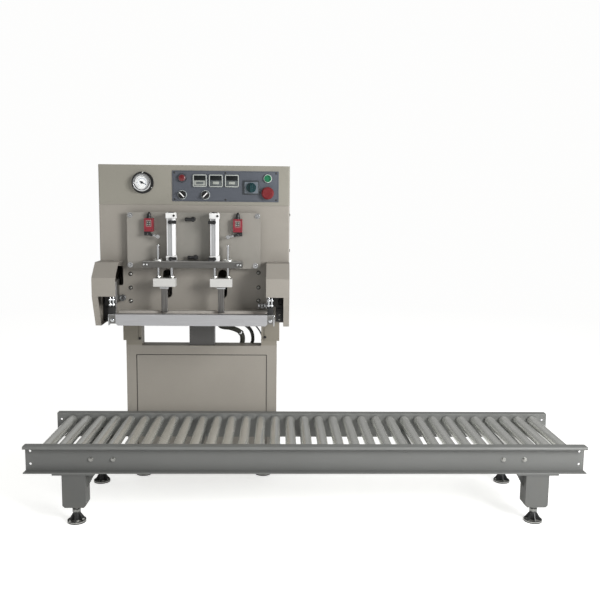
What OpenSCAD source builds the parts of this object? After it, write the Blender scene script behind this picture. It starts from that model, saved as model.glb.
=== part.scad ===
// Bag sealing machine: a vacuum sealing head on a base cabinet, behind a roller conveyor.
// Millimetres. X runs along the conveyor, Y points away from the operator and Z is up.
// The origin is on the floor, under the middle of the overall length and depth.

/* [Conveyor frame] */
// Length of the two side rails
rail_l = 2560; // [2520:10:3200]
// Height of a side rail
rail_h = 126; // [110:1:160]
// Height of the top of the rails above the floor
rail_top = 368; // [330:1:420]
// Width over the outside of both rails
conveyor_w = 596; // [560:1:640]
// Width of a rail flange
flange_w = 45; // [35:1:55]
// Thickness of the rail steel
rail_wall = 4; // [3:0.5:6]
// Height of the turned-down lip on a rail's top flange
rail_lip = 13; // [8:1:20]
// Outer radius of the bend at the top of a rail
rail_bend = 7; // [6.5:0.5:10]
// Distance from the end of a rail to the first cross tie
tie_end = 214; // [150:1:420]
// Height and width of a square cross tie
tie_size = 40; // [25:1:50]

/* [Rollers] */
// Number of rollers
roller_count = 33; // [3:1:33]
// Distance from the end of a rail to the first roller
roller_end = 80; // [60:1:200]
// Outer diameter of a roller
roller_d = 50; // [40:1:52]
// Wall thickness of the roller tube
roller_wall = 2; // [1.5:0.1:4]
// How far the roller tops lie below the rail tops
roller_sink = 10; // [4:1:16]
// Gap between a roller's end and the rail
roller_end_gap = 3; // [1:0.5:6]
// Thickness of a roller's bearing cap
roller_cap_t = 14; // [8:1:20]
// Diameter of the dished face of a bearing cap
roller_dish_d = 34; // [28:1:38]
// Depth of the dish in a bearing cap
roller_dish = 3; // [1:0.5:5]
// Diameter of a roller's fixed axle
axle_d = 12; // [8:1:15]
// Radial running clearance between an axle and its bearings
axle_fit = 0.08; // [0.02:0.01:0.1]
// Radial clearance of an axle in the rail
axle_hole_gap = 0.2; // [0.1:0.05:0.5]

/* [Conveyor stands] */
// Distance from the end of a rail to the middle of a leg
leg_end = 223; // [180:1:380]
// Width of a leg
leg_w = 106; // [80:1:140]
// Depth of a leg
leg_d = 80; // [60:1:100]
// Wall thickness of a leg
leg_wall = 4; // [3:0.5:6]
// Length of the plate that a leg hangs from
leg_plate_w = 190; // [190:1:220]
// Thickness of that plate
leg_plate_t = 8; // [5:1:12]
// Width of the gusset on the inner side of a leg
gusset_w = 38; // [30:1:42]
// Height of the gusset
gusset_h = 72; // [50:1:110]
// Thickness of the gusset
gusset_t = 6; // [4:1:10]
// Height of the tie between the near and the far leg
leg_tie_h = 40; // [20:1:60]
// Thickness of a leg's foot plate
leg_sole = 8; // [5:1:12]
// Bevel at the lower corners of a leg
leg_bevel = 10; // [4:1:11]

/* [Levelling feet] */
// Height from the floor to what stands on the feet
foot_h = 80; // [70:1:90]
// Diameter of the threaded stud
stud_d = 20; // [12:1:22]
// Width of the lock nut across its corners
foot_nut_w = 38; // [30:1:44]
// Height of the lock nut
foot_nut_h = 12; // [8:1:16]
// Diameter of the foot's round base
foot_pad_d = 84; // [60:1:95]
// Height of the base's rim
foot_pad_h = 10; // [6:1:14]
// Diameter of the hub on the base
foot_hub_d = 30; // [24:1:36]
// Height of the hub's top above the floor
foot_hub_h = 50; // [30:1:52]
// Thickness of the ribs between the hub and the rim
foot_rib_t = 4; // [3:0.5:6]

/* [Base cabinet] */
// Gap between the conveyor and the cabinet
stand_gap = 0.3; // [0.1:0.1:2]
// Distance from the middle of the conveyor to the middle of the machine
machine_off = 536; // [300:1:800]
// Distance from the side of the head in to the side of the cabinet
cabinet_in = 57.5; // [28:0.5:68]
// Depth of the cabinet
cabinet_d = 450; // [430:1:600]
// Height of the cabinet's front ledge above the floor
cabinet_top = 717; // [690:1:730]
// Thickness of the cabinet's sheet steel
cabinet_sheet = 2; // [1.5:0.1:4]
// Depth of the front ledge
ledge_d = 93; // [90:1:110]
// How far the rear deck lies below the ledge
deck_drop = 77; // [40:1:120]
// Distance from the side of the cabinet in to the lift-off front panel
panel_side = 54.5; // [45:0.5:90]
// Distance from the ledge down to the panel
panel_down = 50; // [40:1:80]
// Distance from the bottom of the cabinet up to the panel
panel_up = 30; // [20:1:60]
// Gap round the panel
panel_gap = 3; // [2:0.5:5]
// Width of the frame edge behind the panel
panel_edge = 20; // [10:1:30]
// Distance of a cabinet foot from the cabinet's sides
cabinet_foot_in = 70; // [60:1:120]
// Number of louvres in a row on the back
louvre_count = 8; // [2:1:9]
// Width of a louvre
louvre_w = 200; // [120:1:220]
// Height of a louvre's slot
louvre_h = 8; // [4:1:12]
// Distance from one louvre to the next
louvre_pitch = 24; // [20:1:30]
// Diameter of the air inlet bore at the back
inlet_d = 20; // [10:1:30]
// Diameter of the cable gland's bore at the back
gland_d = 16; // [10:1:24]

/* [Vacuum pump] */
// Length of the pump and its motor
pump_l = 420; // [300:1:500]
// Diameter of the pump's motor
pump_d = 170; // [120:1:200]
// Height of the motor's axis above the cabinet floor
pump_axis_h = 120; // [110:1:140]

/* [Lift] */
// How far the head can be raised
lift_travel = 120; // [60:1:140]
// Width of a lift post
post_w = 81; // [60:1:84]
// Depth of a lift post
post_d = 78; // [60:1:84]
// Wall thickness of a lift post
post_wall = 4; // [3:0.5:6]
// Height of the top of the lift posts above the floor
post_top = 1040; // [1030:1:1100]
// Sliding clearance between the head and its posts and column
slide_gap = 0.5; // [0.2:0.1:0.8]
// Thickness of the sleeve round a post
sleeve_wall = 4; // [3:0.5:5]
// Thickness of the slide pad between the sleeve and the post
slide_pad_t = 9; // [5:1:14]
// Width of the sleeve's front
sleeve_w = 78; // [60:1:80]
// Length of the sleeve below the head
sleeve_l = 143; // [130:1:150]
// Width of the lift column
column_w = 129; // [100:1:150]
// Depth of the lift column
column_d = 76; // [60:1:80]
// Wall thickness of the lift column
column_wall = 4; // [3:0.5:6]
// Distance from the cabinet's front to the column
column_back = 12; // [6:1:14]
// Gap between the lowered head and the top of the column
column_top_gap = 8; // [4:1:20]
// How far the ram stays in the column with the head raised
ram_hold = 97; // [60:1:100]

/* [Head] */
// Depth of the head
head_d = 440; // [400:1:520]
// How far the head's face stands in front of the cabinet
head_over = 290; // [270:1:310]
// Height of the head's bottom above the floor, lowered
head_low = 888; // [880:1:895]
// Height of the head
head_h = 743; // [735:1:780]
// Thickness of the head's sheet steel
head_sheet = 2.5; // [2:0.1:4]
// Distance from the head's top down to the seam under the controls
seam_down = 186; // [180:1:200]
// Height of that seam
seam_h = 3; // [1:0.5:5]
// Depth of that seam
seam_d = 1.2; // [0.5:0.1:1.8]

/* [Side covers] */
// Width of a side cover
cover_w = 107; // [104:1:120]
// Distance that a side cover stands out from the face
cover_out = 180; // [178:1:200]
// Height of a side cover
cover_h = 293; // [290:1:300]
// Thickness of the cover's sheet steel
cover_sheet = 2; // [1.5:0.1:3]
// Width of the edge turned in round the cover's opening
cover_lip = 27; // [15:1:32]

/* [Jaws] */
// Length of the sealing jaws
jaw_l = 694; // [640:1:1000]
// How far the ends of the jaws reach into the side covers
jaw_in = 6; // [0:0.5:6]
// Height of the front jaw
jaw_h = 52; // [45:1:56]
// Depth of the front jaw
jaw_d = 40; // [30:1:44]
// Height of the front jaw's bottom above the head's bottom
jaw_up = 7; // [0:1:10]
// How far the front jaw moves to close
jaw_travel = 35.5; // [20:0.5:35.5]
// Gap left between the closed jaws
jaw_closed_gap = 0.5; // [0.3:0.1:2]
// Thickness of the rubber strip that stands out of the front jaw
strip_out = 2; // [1:0.5:4]
// Height of the rubber strip
strip_h = 24; // [15:1:30]
// Depth of the groove that holds the rubber strip
strip_in = 6; // [4:1:10]
// Distance from the face to the front of the rear jaw
rear_jaw_out = 82; // [78:1:84]
// Depth of the rear jaw
rear_jaw_d = 40; // [25:1:45]
// Height of the rear jaw
rear_jaw_h = 55; // [45:1:60]
// Width of the arm at each end of the front jaw
arm_w = 29; // [20:1:32]
// Thickness of the arm and its yoke
arm_t = 20; // [14:1:24]
// Width of the yoke over the guide rods
yoke_w = 50; // [44:1:54]
// Diameter of a jaw guide rod
jaw_rod_d = 16; // [10:1:18]
// Diameter of the jaw's piston rod
jaw_piston_d = 12; // [8:1:14]
// Distance from the piston rod to a guide rod
jaw_rod_pitch = 30; // [26:1:34]
// Length of a guided jaw cylinder
jaw_cyl_l = 85; // [75:1:90]
// Width of a guided jaw cylinder
jaw_cyl_w = 54; // [46:1:58]
// Height of a guided jaw cylinder
jaw_cyl_h = 110; // [90:1:116]
// Distance from the head's bottom up to the piston rod of the jaw
jaw_axis_up = 152; // [145:1:160]
// Radial running clearance of rods, shafts and pistons
rod_fit = 0.05; // [0.02:0.01:0.1]

/* [Nozzle cylinders] */
// Gap between the plate that carries the cylinders and a side cover
plate_side = 29; // [21:0.5:40]
// Height of that plate
plate_h = 263; // [240:1:270]
// Thickness of that plate
plate_t = 8; // [5:1:10]
// Length of the spacers behind the plate
spacer_l = 27; // [15:1:30]
// Diameter of a spacer
spacer_d = 22; // [14:1:26]
// Distance from a spacer to the plate's edge
spacer_in = 15; // [13:1:25]
// Distance from the head's bottom up to the plate
plate_up = 261; // [258:1:266]
// Length of the cross bar that the cylinders stand on
bar_l = 459; // [440:1:500]
// Height of the cross bar
bar_h = 30; // [20:1:36]
// Depth of the cross bar
bar_d = 70; // [64:1:80]
// Distance from the plate's bottom up to the cross bar
bar_up = 9; // [4:1:14]
// Distance from the middle to a cylinder
cyl_x = 100; // [90:1:104]
// Distance from the middle to a guide rod
guide_x = 162; // [158:1:166]
// Distance from the plate's face to the axes of the cylinders and guide rods
cyl_out = 40; // [34:1:42]
// Outer diameter of a cylinder's barrel
barrel_d = 38; // [34:1:44]
// Inner diameter of a cylinder's barrel
barrel_bore = 32; // [28:1:33]
// Height of a cylinder with its end caps
cyl_h = 222; // [215:1:230]
// Width of a square end cap
cap_w = 46; // [44:1:50]
// Height of an end cap
cap_h = 26; // [20:1:30]
// Diameter of a piston rod
piston_rod_d = 14; // [10:1:18]
// Thickness of a piston
piston_t = 16; // [10:1:24]
// Diameter of a guide rod
guide_rod_d = 12; // [8:1:14]
// Diameter of a guide bush's flange
bush_d = 46; // [30:1:50]
// Thickness of that flange
bush_t = 6; // [3:1:8]

/* [Nozzles] */
// How far a nozzle moves down from rest
nozzle_down = 60; // [30:1:60]
// Gap between the top of a nozzle block and the bar above it
nozzle_block_gap = 50; // [35:1:52]
// Width of a nozzle block
block_w = 102; // [96:1:106]
// Height of a nozzle block
block_h = 38; // [30:1:40]
// Depth of a nozzle block
block_d = 50; // [44:1:54]
// Width of a flat nozzle
duct_w = 30; // [20:1:36]
// Thickness of a flat nozzle
duct_t = 8; // [6:1:10]
// Wall of a flat nozzle
duct_wall = 1.5; // [1:0.1:2]
// Gap between the front jaw's top and the end of a nozzle
duct_tip_gap = 1; // [0.5:0.1:5]
// Diameter of the suction pipe behind a nozzle block
suction_d = 24; // [16:1:28]
// Length of the suction pipe inside the head
suction_in = 30; // [15:1:60]
// Width of the slot in the face for a suction pipe
slot_w = 43; // [36:1:48]
// Clearance of a suction pipe above and below in its slot
slot_gap = 12; // [4:1:14]

/* [Limit switches] */
// Distance from the middle to a limit switch
switch_x = 206; // [204:1:214]
// Width of a limit switch
switch_w = 42; // [34:1:44]
// Height of a limit switch
switch_h = 61; // [50:1:64]
// Depth of a limit switch
switch_d = 30; // [24:1:32]
// Distance from the cross bar's top up to a limit switch
switch_up = 134; // [130:1:140]
// Height of a switch's turret
turret_h = 18; // [14:1:20]
// Diameter of a switch's cable gland
switch_gland_d = 18; // [12:1:22]
// Height of a switch's cable gland
switch_gland_h = 22; // [12:1:26]
// Diameter of a lever's shaft
lever_shaft_d = 8; // [6:1:9]
// Thickness of a lever
lever_t = 3; // [2:0.5:4]
// Width of a lever
lever_w = 9; // [8:1:12]
// Diameter of a lever's roller
lever_roller_d = 18; // [12:1:20]
// Thickness of a lever's roller
lever_roller_t = 8; // [5:1:10]
// How far a lever's roller hangs below its shaft
lever_drop = 13; // [8:1:14]
// Gap between a raised guide rod and the roller above it
trip_gap = 0.5; // [0.3:0.1:2]

/* [Control panel] */
// Width of the control panel
control_w = 499; // [480:1:510]
// Height of the control panel
control_h = 143; // [138:1:150]
// Thickness of the control panel
control_t = 3; // [2:0.5:5]
// Distance from the right side of the head in to the panel
control_side = 52.5; // [48:0.5:60]
// Distance from the head's top down to the panel
control_down = 25; // [20:1:35]
// Diameter of the lamp's lens
lamp_d = 34; // [24:1:38]
// How far the lamp stands out
lamp_out = 14; // [8:1:20]
// Width of a meter
meter_w = 64; // [50:1:66]
// Height of a meter
meter_h = 57; // [50:1:60]
// How far a meter stands out
meter_out = 9; // [5:1:14]
// Width of a meter's frame
meter_frame = 5; // [3:1:8]
// Distance from one meter to the next
meter_pitch = 75; // [70:1:80]
// Diameter of a selector knob
selector_d = 36; // [28:1:40]
// How far a selector knob stands out
selector_out = 22; // [14:1:28]
// Diameter of the ring under a button or knob
ring_d = 42; // [41:1:46]
// How far such a ring stands out
ring_out = 5; // [3:1:8]
// Diameter of the shafts of buttons and knobs
stem_d = 10; // [8:1:12]
// Diameter of the start button's cap
start_d = 26; // [20:1:30]
// How far the start button stands out of its ring
start_out = 7; // [6:1:10]
// How far the start button can be pressed
start_travel = 4; // [2:0.5:5]
// Diameter of the emergency stop's mushroom
stop_d = 58; // [50:1:62]
// Thickness of the mushroom
stop_t = 14; // [10:1:18]
// How far the emergency stop can be pressed
stop_travel = 6; // [3:0.5:7]
// Width of the main switch's plate
switch_plate_w = 76; // [70:1:80]
// Height of the main switch's plate
switch_plate_h = 65; // [60:1:70]
// How far that plate stands out
switch_plate_out = 6; // [4:1:10]
// Diameter of the main switch's knob
main_d = 46; // [38:1:50]
// How far the main switch's knob stands out of its plate
main_out = 24; // [16:1:30]

/* [Vacuum gauge] */
// Distance from the middle of the head to the gauge
gauge_x = 241; // [230:1:260]
// Distance from the head's top down to the gauge's axis
gauge_down = 83; // [75:1:90]
// Diameter of the gauge's mounting flange
gauge_flange_d = 102; // [90:1:110]
// Diameter of the gauge's case
gauge_case_d = 82; // [70:1:88]
// How far the gauge stands out
gauge_out = 32; // [24:1:40]
// Diameter of the dial
dial_d = 66; // [56:1:68]
// Depth from the front of the case to the dial
dial_in = 8; // [6:1:10]
// Length of the needle's point
needle_l = 26; // [18:1:28]

/* [Hoses] */
// Outer diameter of the large ribbed hose
hose_d = 28; // [20:1:32]
// Outer diameter of the small ribbed hose
conduit_d = 20; // [12:1:22]
// Outer diameter of the thin air tube
tube_d = 8; // [6:1:10]
// Distance from one rib to the next
rib_pitch = 6; // [5:0.5:10]
// Height of a rib
rib_h = 2; // [1:0.5:2.5]
// Wall thickness of a hose between its ribs
hose_wall = 2; // [1:0.5:3]

/* [Hidden] */
// Smoothness of the round shapes
$fn = 48;
// Overrun of a cut past the face that it goes through
over = 5;

// Planes that the pieces are set out from
overall_d = conveyor_w + stand_gap + cabinet_d;
head_w = jaw_l + 2 * (cover_w - jaw_in);
cabinet_w = head_w - 2 * cabinet_in;
conveyor_y = (conveyor_w - overall_d) / 2;
cabinet_y = conveyor_y + conveyor_w / 2 + stand_gap;
face_y = cabinet_y - head_over;
machine_x = -machine_off;

// Rails, rollers and axles
rail_low = rail_top - rail_h;
rail_edge = 6;
web_gap = conveyor_w - 2 * flange_w;
tie_wall = 3;
tie_count = 5;
tie_pitch = (rail_l - 2 * tie_end) / (tie_count - 1);
splice_in = 22;
splice_pitch = 60;
splice_d = 11;
roller_z = rail_top - roller_sink - roller_d / 2;
roller_l = web_gap - 2 * roller_end_gap;
roller_pitch = (rail_l - 2 * roller_end) / (roller_count - 1);
axle_l = web_gap + 2 * rail_wall;

// Stands and feet
leg_x = rail_l / 2 - leg_end;
leg_in = 5;
leg_top = rail_low - leg_plate_t;
stud_gap = 0.2;
stud_end = 10;
foot_rim = 4;
foot_dish = 4;
foot_rib_count = 6;

// Cabinet, with its outline in Y and Z
deck_z = cabinet_top - deck_drop;
panel_w = cabinet_w - 2 * panel_side;
panel_low = foot_h + panel_up;
panel_h = cabinet_top - panel_down - panel_low;
panel_seat = 0.3;
sole_w = 60;
louvre_x = 190;
louvre_low = 150;
port_wall = 8;
port_l = 14;
inlet_x = 250;
gland_x = 190;
port_down = 60;
cabinet_outline = [
    [0, foot_h],
    [cabinet_d, foot_h],
    [cabinet_d, deck_z],
    [ledge_d, deck_z],
    [ledge_d, cabinet_top],
    [0, cabinet_top]
];
post_x = (cabinet_w - post_w) / 2;
column_y = column_back + column_d / 2;
ram_l = lift_travel + ram_hold + column_top_gap;
ram_w = column_w - 2 * column_wall - 2 * slide_gap;
ram_d = column_d - 2 * column_wall - 2 * slide_gap;

// Pump on the floor of the cabinet, with the shares of its length and of its width
motor_share = 0.46;
fan_share = 0.1;
pump_block_share = 0.34;
filter_share = 0.3;
fin_count = 8;
fin_h = 4;
fin_t = 3;
pump_foot_w = 40;
pump_block_up = 12;

// Hoses between the head and the deck: where they stand on the deck and hang from the head
hose_y = 118;
hose_foot = 175;
conduit_foot = 233;
tube_foot = 314;
hose_foot_x = [hose_foot, conduit_foot, tube_foot];
hose_head = 70;
conduit_head = 150;
tube_head = 205;
hose_head_x = [hose_head, conduit_head, tube_head];
hose_sizes = [hose_d, conduit_d, tube_d];
hose_head_gap = 0.3;
hose_seat_gap = 0.8;
collar_wall = 6;
collar_h = 12;
hose_sides = 8;
bore_steps = 12;
tube_steps = 16;
hose_pull_share = 0.55;
hose_ribs = floor((head_low - deck_z) / rib_pitch);

// Head, from its bottom and from the middle of its face
head_top = head_low + head_h;
sheet_bend = 6;
post_hole_gap = 3;
side_slot_w = 36;
side_slot_h = 92;
side_slot_in = 89;
side_slot_x = head_w / 2 - side_slot_in;
side_slot_up = 176;
control_margin = 14;

// Side covers, from the face and from the head's bottom
cover_top_out = 105;
cover_slope = 65;
cover_front_h = 85;
cover_foot_out = 118;
cover_open_z = head_low + cover_h - cover_slope - cover_front_h;
cover_outline = [
    [0, head_low],
    [0, head_low + cover_h],
    [-cover_top_out, head_low + cover_h],
    [-cover_out, head_low + cover_h - cover_slope],
    [-cover_out, cover_open_z],
    [-cover_foot_out, head_low]
];

// Plate, cross bar and cylinders
plate_w = head_w - 2 * (cover_w + plate_side);
plate_z = head_low + plate_up;
plate_front = -(spacer_l + plate_t);
bar_z = plate_z + bar_up;
bar_top = bar_z + bar_h;
cyl_y = plate_front - cyl_out;
cap_wall_share = 0.7;
bore_low = bar_top + cap_h * cap_wall_share;
bore_high = bar_top + cyl_h - cap_h * cap_wall_share;
bar_rod_gap = 1;
elbow_d = 15;
elbow_l = 26;
elbow_out = 12;
elbow_down = 42;
elbow_up = 12;
union_left = -14;
union_right = -3;
union_x = [union_right, union_left];
elbow_neck_d = 12;

// Nozzles
block_top = bar_z - nozzle_block_gap;
block_z = block_top - block_h;
block_forward = 10;
block_y = cyl_y - block_forward;
nozzle_x = (cyl_x + guide_x) / 2;
suction_z = block_z + block_h / 2;
piston_up = 94;
piston_z = bar_top + piston_up;
pipe_wall = 3;
round_share = 0.49;

// Jaws
jaw_z = head_low + jaw_up;
jaw_top = jaw_z + jaw_h;
jaw_back = -(rear_jaw_out + jaw_closed_gap + jaw_travel + strip_out);
jaw_y = jaw_back - jaw_d / 2;
jaw_bevel = 9;
yoke_in = 2;
jaw_axis_x = jaw_l / 2 + yoke_w / 2 - yoke_in;
jaw_axis_z = head_low + jaw_axis_up;
yoke_h = jaw_cyl_h;
yoke_low = jaw_axis_z - yoke_h / 2;
arm_in = 6;
rod_in = 42;
rod_reach = rod_in - jaw_cyl_l - jaw_y;
bore_end = 4;
rear_jaw_up = 3;
rear_jaw_z = jaw_z + rear_jaw_up;
beam_h = 38;
beam_in = 30;
duct_y = (jaw_back - rear_jaw_out) / 2;
duct_tip = jaw_top + duct_tip_gap;

// Limit switches: a raised guide rod stops just under the lever's roller
switch_z = bar_top + switch_up;
turret_w = 26;
lever_z = switch_z - turret_h / 2;
lever_x = switch_x + switch_w / 4;
trip_z = lever_z - lever_drop - lever_roller_d / 2;
nozzle_up = 28.5;
guide_top = trip_z - trip_gap - nozzle_up;
lever_pin_d = 5;
lever_gap = 0.5;
lever_shaft_l = 20;
lever_run = [guide_x - lever_x, -lever_drop];

// Controls, from the middle of the panel
control_x = (head_w - control_w) / 2 - control_side;
control_z = head_top - control_down - control_h / 2;
lamp_left = 203;
lamp_up = 37;
meter_left = 120;
meter_up = 25;
meter_deep = 4;
selector_pitch = 109;
selector_down = 41;
main_right = 121;
main_down = 5;
stop_right = 198;
start_up = 38;
stop_down = 30;
stem_in = 22;
collar_d = 16;
collar_t = 3;
knob_gap = 0.4;
grip_w = 11;
grip_edge = 3;
stop_neck_d = 24;
stop_gap = 1;
stop_edge = 3;
knob_base_share = 0.4;
selector_turn = 45;
gauge_z = head_top - gauge_down;
gauge_flange_t = 5;
needle_w = 5;
needle_t = 1;
needle_hub_d = 11;
needle_pin_d = 4;
needle_pin_l = 6;
needle_gap = 1;
needle_turn = -27;

// Names and places
function roller_name(i) = str("roller_", i < 9 ? "0" : "", i + 1);
function roller_x(i) = (i - (roller_count - 1) / 2) * roller_pitch;

// An outline drawn counter-clockwise, moved in by a wall
function unit(v) = v / norm(v);
function left_of(v) = [-v[1], v[0]];
function inset_corner(a, b, c, wall) =
    let (n = left_of(unit(b - a)), m = left_of(unit(c - b)))
    b + wall * (n + m) / (1 + n * m);
function inset(points, wall) = [
    for (i = [0 : len(points) - 1])
        inset_corner(
            points[(i + len(points) - 1) % len(points)],
            points[i],
            points[(i + 1) % len(points)],
            wall
        )
];

// Ways to set an outline or a rod in place
module along_x(length) {
    rotate([90, 0, 90]) linear_extrude(length, center = true) children();
}
module to_front(thickness) {
    rotate([90, 0, 0]) linear_extrude(thickness) children();
}
module rod_front(d, l) {
    rotate([90, 0, 0]) cylinder(d = d, h = l);
}
module rod_back(d, l) {
    rotate([-90, 0, 0]) cylinder(d = d, h = l);
}
module on_both_sides() {
    for (side = [0, 1]) mirror([side, 0, 0]) children();
}
module at_cabinet() {
    translate([machine_x, cabinet_y, 0]) children();
}
module at_face() {
    translate([machine_x, face_y, 0]) children();
}

// Flat outlines
module rounded(w, h, r) {
    square([w - 2 * r, h], center = true);
    square([w, h - 2 * r], center = true);
    for (x = [-1, 1], y = [-1, 1]) translate([x * (w / 2 - r), y * (h / 2 - r)]) circle(r);
}
module box_tube(w, d, h, wall) {
    translate([0, 0, h / 2]) difference() {
        cube([w, d, h], center = true);
        cube([w - 2 * wall, d - 2 * wall, h + over], center = true);
    }
}

// Conveyor
module rail_outline() {
    difference() {
        union() {
            square([flange_w, rail_h - rail_bend]);
            translate([rail_bend, 0]) square([flange_w - rail_bend, rail_h]);
            translate([rail_bend, rail_h - rail_bend]) circle(rail_bend);
        }
        translate([rail_wall, rail_wall])
            square([flange_w - 2 * rail_wall, rail_h - 2 * rail_wall]);
        translate([-over, rail_edge])
            square([over + 2 * rail_wall, rail_h - rail_lip - rail_edge]);
    }
}

module cross_tie(x) {
    translate([x, 0, rail_low + rail_wall + tie_size / 2]) difference() {
        cube([tie_size, web_gap + rail_wall, tie_size], center = true);
        translate([0, 0, -tie_wall])
            cube([tie_size - 2 * tie_wall, web_gap, tie_size], center = true);
    }
}

// One leg under the near rail, with its inner side towards positive X
module leg() {
    translate([0, leg_in - conveyor_w / 2 + leg_d / 2, 0]) {
        difference() {
            translate([0, leg_d / 2, 0]) to_front(leg_d) polygon([
                [leg_bevel - leg_w / 2, foot_h],
                [leg_w / 2 - leg_bevel, foot_h],
                [leg_w / 2, foot_h + leg_bevel],
                [leg_w / 2, leg_top],
                [-leg_w / 2, leg_top],
                [-leg_w / 2, foot_h + leg_bevel]
            ]);
            translate([leg_wall - leg_w / 2, leg_wall - leg_d / 2, foot_h + leg_sole])
                cube([leg_w - 2 * leg_wall, leg_d - 2 * leg_wall, leg_top - foot_h]);
        }
        translate([0, 0, rail_low - leg_plate_t / 2])
            cube([leg_plate_w, leg_d + 2 * leg_in, leg_plate_t], center = true);
        translate([leg_w / 2, gusset_t / 2, leg_top])
            to_front(gusset_t)
                polygon([[-leg_wall, 0], [-leg_wall, -gusset_h], [0, -gusset_h], [gusset_w, 0]]);
    }
}

module stand() {
    for (side = [0, 1]) mirror([0, side, 0]) leg();
    translate([0, 0, leg_top - leg_tie_h / 2])
        cube([tie_size, conveyor_w - 2 * (leg_in + leg_d), leg_tie_h], center = true);
}

module conveyor_frame() {
    color("darkgray") translate([0, conveyor_y, 0]) difference() {
        union() {
            for (side = [0, 1]) mirror([0, side, 0])
                translate([0, -conveyor_w / 2, rail_low]) along_x(rail_l) rail_outline();
            for (i = [0 : tie_count - 1]) cross_tie((i - (tie_count - 1) / 2) * tie_pitch);
            on_both_sides() translate([-leg_x, 0, 0]) stand();
        }
        for (i = [0 : roller_count - 1]) translate([roller_x(i), conveyor_w / 2, roller_z])
            rod_front(axle_d + 2 * axle_hole_gap, conveyor_w);
        for (x = [-1, 1], z = [-1, 1])
            translate([
                x * (rail_l / 2 - splice_in),
                conveyor_w / 2,
                rail_low + rail_h / 2 + z * splice_pitch / 2
            ])
                rod_front(splice_d, conveyor_w);
        for (x = [-1, 1], y = [-1, 1])
            translate([
                x * leg_x,
                y * (conveyor_w / 2 - leg_in - leg_d / 2),
                foot_h - over
            ])
                cylinder(d = stud_d + 2 * stud_gap, h = leg_sole + 2 * over);
    }
}

// Rollers and their fixed axles
module roller_outline() {
    difference() {
        translate([0, -roller_l / 2]) square([roller_d / 2, roller_l]);
        translate([0, -roller_l]) square([axle_d / 2 + axle_fit, 2 * roller_l]);
        translate([0, roller_cap_t - roller_l / 2])
            square([roller_d / 2 - roller_wall, roller_l - 2 * roller_cap_t]);
        for (side = [0, 1]) mirror([0, side]) translate([0, roller_l / 2 - roller_dish])
            square([roller_dish_d / 2, roller_dish + over]);
    }
}

module roller(i) {
    color("silver") translate([roller_x(i), conveyor_y, roller_z]) rotate([90, 0, 0])
        rotate_extrude() roller_outline();
}

module roller_axles() {
    color("dimgray") for (i = [0 : roller_count - 1])
        translate([roller_x(i), conveyor_y + axle_l / 2, roller_z]) rod_front(axle_d, axle_l);
}

// Feet under the conveyor and the cabinet
module levelling_foot() {
    base = foot_pad_h - foot_dish;
    rotate_extrude() polygon([
        [0, 0],
        [foot_pad_d / 2, 0],
        [foot_pad_d / 2, foot_pad_h],
        [foot_pad_d / 2 - foot_rim, foot_pad_h],
        [foot_pad_d / 2 - 2 * foot_rim, base],
        [foot_hub_d / 2, base],
        [foot_hub_d / 2, foot_hub_h],
        [0, foot_hub_h]
    ]);
    for (i = [0 : foot_rib_count - 1]) rotate(360 * (i + 0.5) / foot_rib_count)
        translate([0, foot_rib_t / 2, 0]) to_front(foot_rib_t) polygon([
            [stud_d / 2, base / 2],
            [foot_pad_d / 2 - foot_rim / 2, base / 2],
            [foot_pad_d / 2 - foot_rim / 2, foot_pad_h],
            [foot_hub_d / 2, foot_hub_h - foot_dish],
            [stud_d / 2, foot_hub_h - foot_dish]
        ]);
    translate([0, 0, foot_hub_h - foot_dish])
        cylinder(d = foot_nut_w, h = foot_nut_h + foot_dish, $fn = 6);
    cylinder(d = stud_d, h = foot_h + leg_sole + stud_end);
}

module levelling_feet() {
    color("gray") {
        for (x = [-1, 1], y = [-1, 1])
            translate([x * leg_x, conveyor_y + y * (conveyor_w / 2 - leg_in - leg_d / 2), 0])
                levelling_foot();
        for (x = [-1, 1], y = [cabinet_foot_in, cabinet_d - cabinet_foot_in])
            translate([machine_x + x * (cabinet_w / 2 - cabinet_foot_in), cabinet_y + y, 0])
                levelling_foot();
    }
}

// Cabinet, drawn from the middle of its front
module panel_hole(edge, depth) {
    translate([0, depth, panel_low + panel_h / 2]) to_front(depth + over)
        square([panel_w + 2 * edge, panel_h + 2 * edge], center = true);
}

module louvres() {
    for (x = [-1, 1], i = [0 : louvre_count - 1])
        translate([x * louvre_x, cabinet_d + over, louvre_low + i * louvre_pitch])
            to_front(cabinet_sheet + 2 * over) rounded(louvre_w, louvre_h, louvre_h * round_share);
}

module back_port(x, bore) {
    translate([x, cabinet_d - port_l, deck_z - port_down]) rod_back(bore + 2 * port_wall, port_l);
}

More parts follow.
